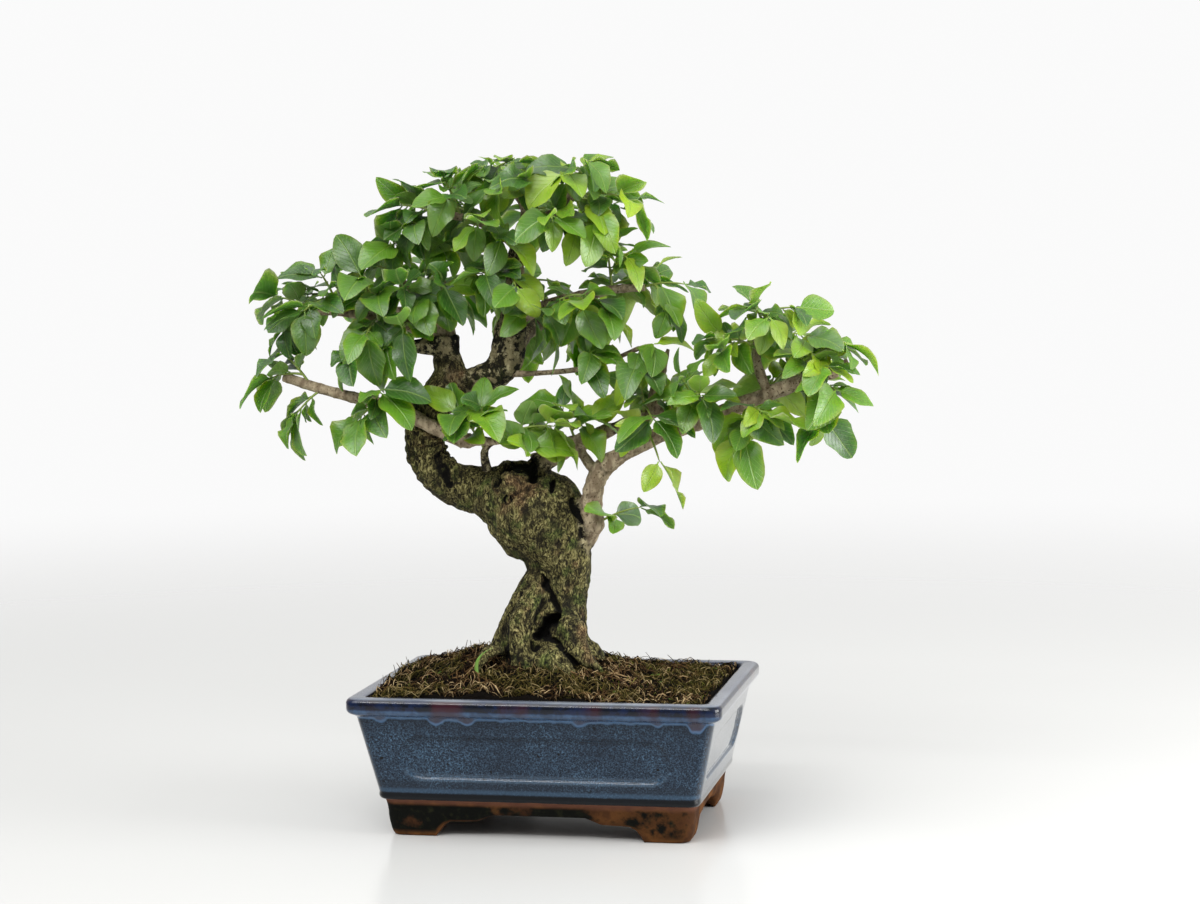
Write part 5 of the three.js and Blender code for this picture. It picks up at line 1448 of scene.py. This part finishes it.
def strands(paths, radii, tints, finish):
    """Many thin closed tubes of three sides at once. Each has a row of points, a row of radii
    and a tint."""
    count, steps = paths.shape[:2]
    along = unit(np.gradient(paths, axis=1))
    side = unit(np.cross(along, UP + np.array([0.02, 0.01, 0])))
    other = np.cross(along, side)
    angle = np.arange(3) / 3 * 2 * math.pi
    ring = np.cos(angle)[:, None] * side[:, :, None] + np.sin(angle)[:, None] * other[:, :, None]
    points = paths[:, :, None] + radii[:, :, None, None] * ring
    last = (steps - 1) * 3
    ends = np.array([[2, 1, 0, -1], [last, last + 1, last + 2, -1]])
    faces = copies(np.concatenate([grid_faces(steps, 3, True), ends]), count, steps * 3)
    return shape(points.reshape(-1, 3), faces, finish, tint=np.repeat(tints, steps * 3))


def turns(count):
    return rng.uniform(0, 2 * math.pi, count)


def lying_roots(start, heading, steps, limits):
    """Roots that wander over the ground and bow up from it."""
    count = len(start)
    length, radius, bow, tint = (rng.uniform(*ends, count) for ends in limits)
    ways = np.cumsum(rng.normal(0, 0.45, (count, steps)), 1) + heading[:, None]
    stride = (length / (steps - 1))[:, None, None] * np.stack([np.cos(ways), np.sin(ways)], -1)
    xy = in_pot(start[:, None] + np.cumsum(stride, 1) - stride[:, :1])
    rise = bow[:, None] * np.sin(np.linspace(0.1, 3.1, steps)) + 0.4 * rng.normal(0, 1, (count, steps))
    paths = np.dstack([xy, soil_height(xy) + rise])
    return strands(paths, radius[:, None] * np.linspace(1, 0.55, steps), tint, SOIL)


def standing_sticks(start, lean, limits, finish):
    """Short pieces that stick up out of the ground and lean over."""
    count, steps = len(start), 4
    height, radius, tint = (rng.uniform(*ends, count) for ends in limits)
    share = np.linspace(0, 1, steps)[None, :, None]
    way = rng.normal(0, 1, (count, 1, 2)) * lean
    xy = start[:, None] + way * height[:, None, None] * share ** 1.5
    z = soil_height(start)[:, None] - 1 + (height[:, None] + 1) * share[..., 0]
    return strands(np.dstack([xy, z]), radius[:, None] * np.linspace(1, 0.4, steps), tint, finish)


def crumbs(count):
    """Loose lumps of soil, each an uneven eight-sided grain."""
    corners = np.array([[1, 0, 0], [0, 1, 0], [-1, 0, 0], [0, -1, 0], [0, 0, 1], [0, 0, -1]], float)
    upper = [[i, (i + 1) % 4, 4, -1] for i in range(4)]
    lower = [[(i + 1) % 4, i, 5, -1] for i in range(4)]
    size = rng.uniform(0.6, 2.0, (count, 1, 1)) * rng.uniform(0.6, 1.2, (count, 6, 1))
    xy = scattered(count)
    points = np.column_stack([xy, soil_height(xy) + 0.3])[:, None] + corners * size
    tints = np.repeat(rng.uniform(0, 0.5, count), 6)
    return shape(points.reshape(-1, 3), copies(np.array(upper + lower), count, 6), SOIL, tint=tints)


def seedlings(count):
    """Sprouts with two tiny leaves each."""
    leaves = []
    spots = np.concatenate([scattered(count), PLACED_SEEDLINGS])
    for ground in np.column_stack([spots, soil_height(spots) + 1.2]):
        turn = rng.uniform(0, math.pi)
        for side in (0, math.pi):
            way = np.array([math.cos(turn + side), math.sin(turn + side), 0.8])
            axis, normal = unit(way), unit(UP - way * (UP @ way) / (way @ way))
            length = rng.uniform(2.4, 4)
            leaves.append({
                "base": ground, "axis": axis, "normal": normal, "across": np.cross(normal, axis),
                "length": length, "half": 0.36 * length, "arch": 0.2, "fold": 0.2,
            })
    made = leaves_shape(leaves)
    return {**made, "finish": np.full(len(made["faces"]), SEEDLING)}


def soil_finish(name, stops):
    """Fibrous soil: tan to brown roots with moss in patches, and nearly black painted shade in
    patches between them.
    """
    material, put, place = started(name, Roughness=0.95, Specular_IOR_Level=0.1)
    tint = put("Attribute", out="Fac", attribute_name="tint")
    moss = put("MapRange", [patches(put, (0.45, 0.55), place, 26, 4.0), 0, 1, 0.0, 0.5])
    moss = put("Math", [moss, put("MapRange", [tint, 0.05, 0.4])], **TIMES)
    # Painted shade in patches between the roots, strongest on dark tints
    gaps = put("Math", [patches(put, (0.42, 0.6), place, 3), put("MapRange", [tint, 0.8, 0.3])], **TIMES)
    colour = coats(put, put("ValToRGB", [tint], stops=stops), (moss, "#4f4e1c"), (gaps, stops[0][1]))
    return dressed(material, put, patches(put, (0.2, 0.8), place, 1.6), 0.5, Base_Color=colour)


def make_soil():
    """The mound and all that lies and stands on it, as one piece."""
    around = turns(LONG_ROOTS)
    foot = np.stack([np.cos(around), np.sin(around)], -1) * TRUNK_FOOT_HALVES + TRUNK_FOOT
    stick_count, *stick_look = STICKS
    moss_count, *moss_look = MOSS_STALKS
    mossy = scattered(moss_count)
    parts = [
        mound_shape(),
        *(lying_roots(scattered(count) * [1, share] + [0, shift], turns(count), steps, limits)
          for count, share, shift, steps, limits in LOOSE_ROOTS),
        lying_roots(foot, around, LONG_ROOT_POINTS, LONG_ROOT_LIMITS),
        standing_sticks(scattered(stick_count), *stick_look, SOIL),
        standing_sticks(mossy, *moss_look, MOSS),
        crumbs(CRUMBS),
        seedlings(SEEDLINGS),
    ]
    finishes = [
        soil_finish("fibrous soil", [
            (0.0, "#050301"), (1.0, "#c3ab80"), (0.4, "#24170d"), (0.75, "#6b5133"),
        ]),
        soil_finish("moss", [(0.0, "#262c0e"), (1.0, "#858638"), (0.5, "#50581f")]),
        leaf_finish("seedling leaf", "#4c7a1c", "#648f26", "#83ab34", "#8fb04c", Roughness=0.5),
    ]
    add_piece("rooty_soil", joined(parts), finishes, "soil", "soil")


make_soil()


# The blade of grass in front of the trunk, and the plastic mesh over the drain holes
GRASS_FOOT, GRASS_HEIGHT, GRASS_LEAN, GRASS_WIDTH, GRASS_DEPTH = (-43, -52), 23, 9, 3, 7
# The section of the blade: how far each corner is across it, in half widths, and behind it
GRASS_ACROSS = np.array([-1, -0.5, 0, 0.5, 1, 0.5, 0, -0.5])
GRASS_BEHIND = np.array([0, 0.18, 0.22, 0.18, 0, -0.18, -0.22, -0.18])


def make_grass():
    """A blade folded along its middle that leans further over the higher it gets."""
    share = np.linspace(0, 1, 18)[:, None]
    level = SOIL_EDGE_LEVEL + mound_height(np.array(GRASS_FOOT)) - GRASS_DEPTH
    half = np.maximum(0.3, GRASS_WIDTH / 2 * (1 - share ** 3))
    rings = np.stack([
        GRASS_FOOT[0] - 2.5 * np.sin(math.pi * share) + GRASS_LEAN * share ** 5 + half * GRASS_ACROSS,
        GRASS_FOOT[1] + GRASS_BEHIND + 0.35 * half * np.abs(GRASS_ACROSS),
        level + (GRASS_HEIGHT + GRASS_DEPTH) * share * (1 - 0.12 * share) + 0 * GRASS_ACROSS,
    ], -1)
    finish = leaf_finish("grass blade", "#3f6a1a", "#567f26", "#7aa03c", "#86a850", Roughness=0.45)
    add_piece("fresh_grass", shape(*closed_rings(rings), tint=0.5), [finish], "grass", "grass_blade")


def dress_drain_meshes():
    plastic = started("black plastic mesh", Base_Color="#2c2f33", Roughness=0.6)[0]
    for name in ("drain_mesh_1", "drain_mesh_2"):
        net = bpy.data.objects[name]
        net.data.materials.clear()
        net.data.materials.append(plastic)


make_grass()
dress_drain_meshes()


# Stage: a pale floor that fades into a white room, a broad soft light from above, a smaller
# one at the right and a narrow strip of light in front
FLOOR_RADIUS, FLOOR_CORNERS = 2600, 64
FLOOR_FADE = (500, 2300)


def floor_finish():
    """Pale polished stone, clear at its edge so that it goes over into the white room."""
    material, put, place = started("pale polished stone", Base_Color="#cfcfcd", Roughness=0.2)
    reach = put("VectorMath", [place], "Value", operation="LENGTH")
    solid = put("MapRange", [reach, FLOOR_FADE[1] * MM, FLOOR_FADE[0] * MM], **SOFT)
    return dressed(material, put, Alpha=solid)


def make_room():
    """White where the camera sees it. Where the object is lit by it or mirrors it, it is
    bright above and at the right and dim behind the camera."""
    world = bpy.data.worlds.new("white room")
    world.use_nodes = True
    put = partial(add, world.node_tree)
    way = put("TexCoord", out="Generated")
    bright = put("VectorMath", [way, (0.45, 0.35, 0.8)], "Value", operation="DOT_PRODUCT")
    lit = put("MapRange", [bright, -0.6, 0.9, 0.1, 0.8])
    strength = put("Mix", {0: put("LightPath", out="Is Camera Ray"), 2: lit, 3: 0.96})
    background = world.node_tree.nodes["Background"]
    background.inputs["Color"].default_value = linear("#ffffff")
    world.node_tree.links.new(strength, background.inputs["Strength"])
    bpy.context.scene.world = world


def add_light(name, kind, place, power, size, target=(0, 0, 200)):
    """A light that looks at a target: size is its width in mm, or a sun's angle in degrees."""
    data = bpy.data.lights.new(name, kind)
    data.energy = power
    if kind == "SUN":
        data.angle = math.radians(size)
    else:
        data.shape, data.size, data.size_y = "RECTANGLE", size[0] * MM, size[1] * MM
    lamp = bpy.data.objects.new(name, data)
    lamp.location = in_frame(np.array(place, float))
    towards = Vector(in_frame(np.array(target, float))) - lamp.location
    lamp.rotation_euler = towards.to_track_quat("-Z", "Y").to_euler()
    bpy.context.scene.collection.objects.link(lamp)


def make_stage():
    """The floor, the room and the lights. Only the floor is a mesh."""
    rim = circle(FLOOR_CORNERS, FLOOR_RADIUS)
    i = np.arange(FLOOR_CORNERS)
    fan = np.stack([i, (i + 1) % FLOOR_CORNERS, 0 * i + FLOOR_CORNERS, 0 * i - 1], 1)
    floor = write_mesh("floor", shape(np.concatenate([rim, [[0, 0, 0]]]), fan), [floor_finish()])
    make_room()
    add_light("sky", "SUN", (-500, -700, 1500), 2.6, 60)
    add_light("window", "AREA", (1500, -200, 500), 26, (900, 900))
    add_light("strip", "AREA", (-200, -1500, 1500), 16, (1800, 50), (0, 0, 90))
    bpy.context.scene.view_settings.view_transform = "Standard"


make_stage()
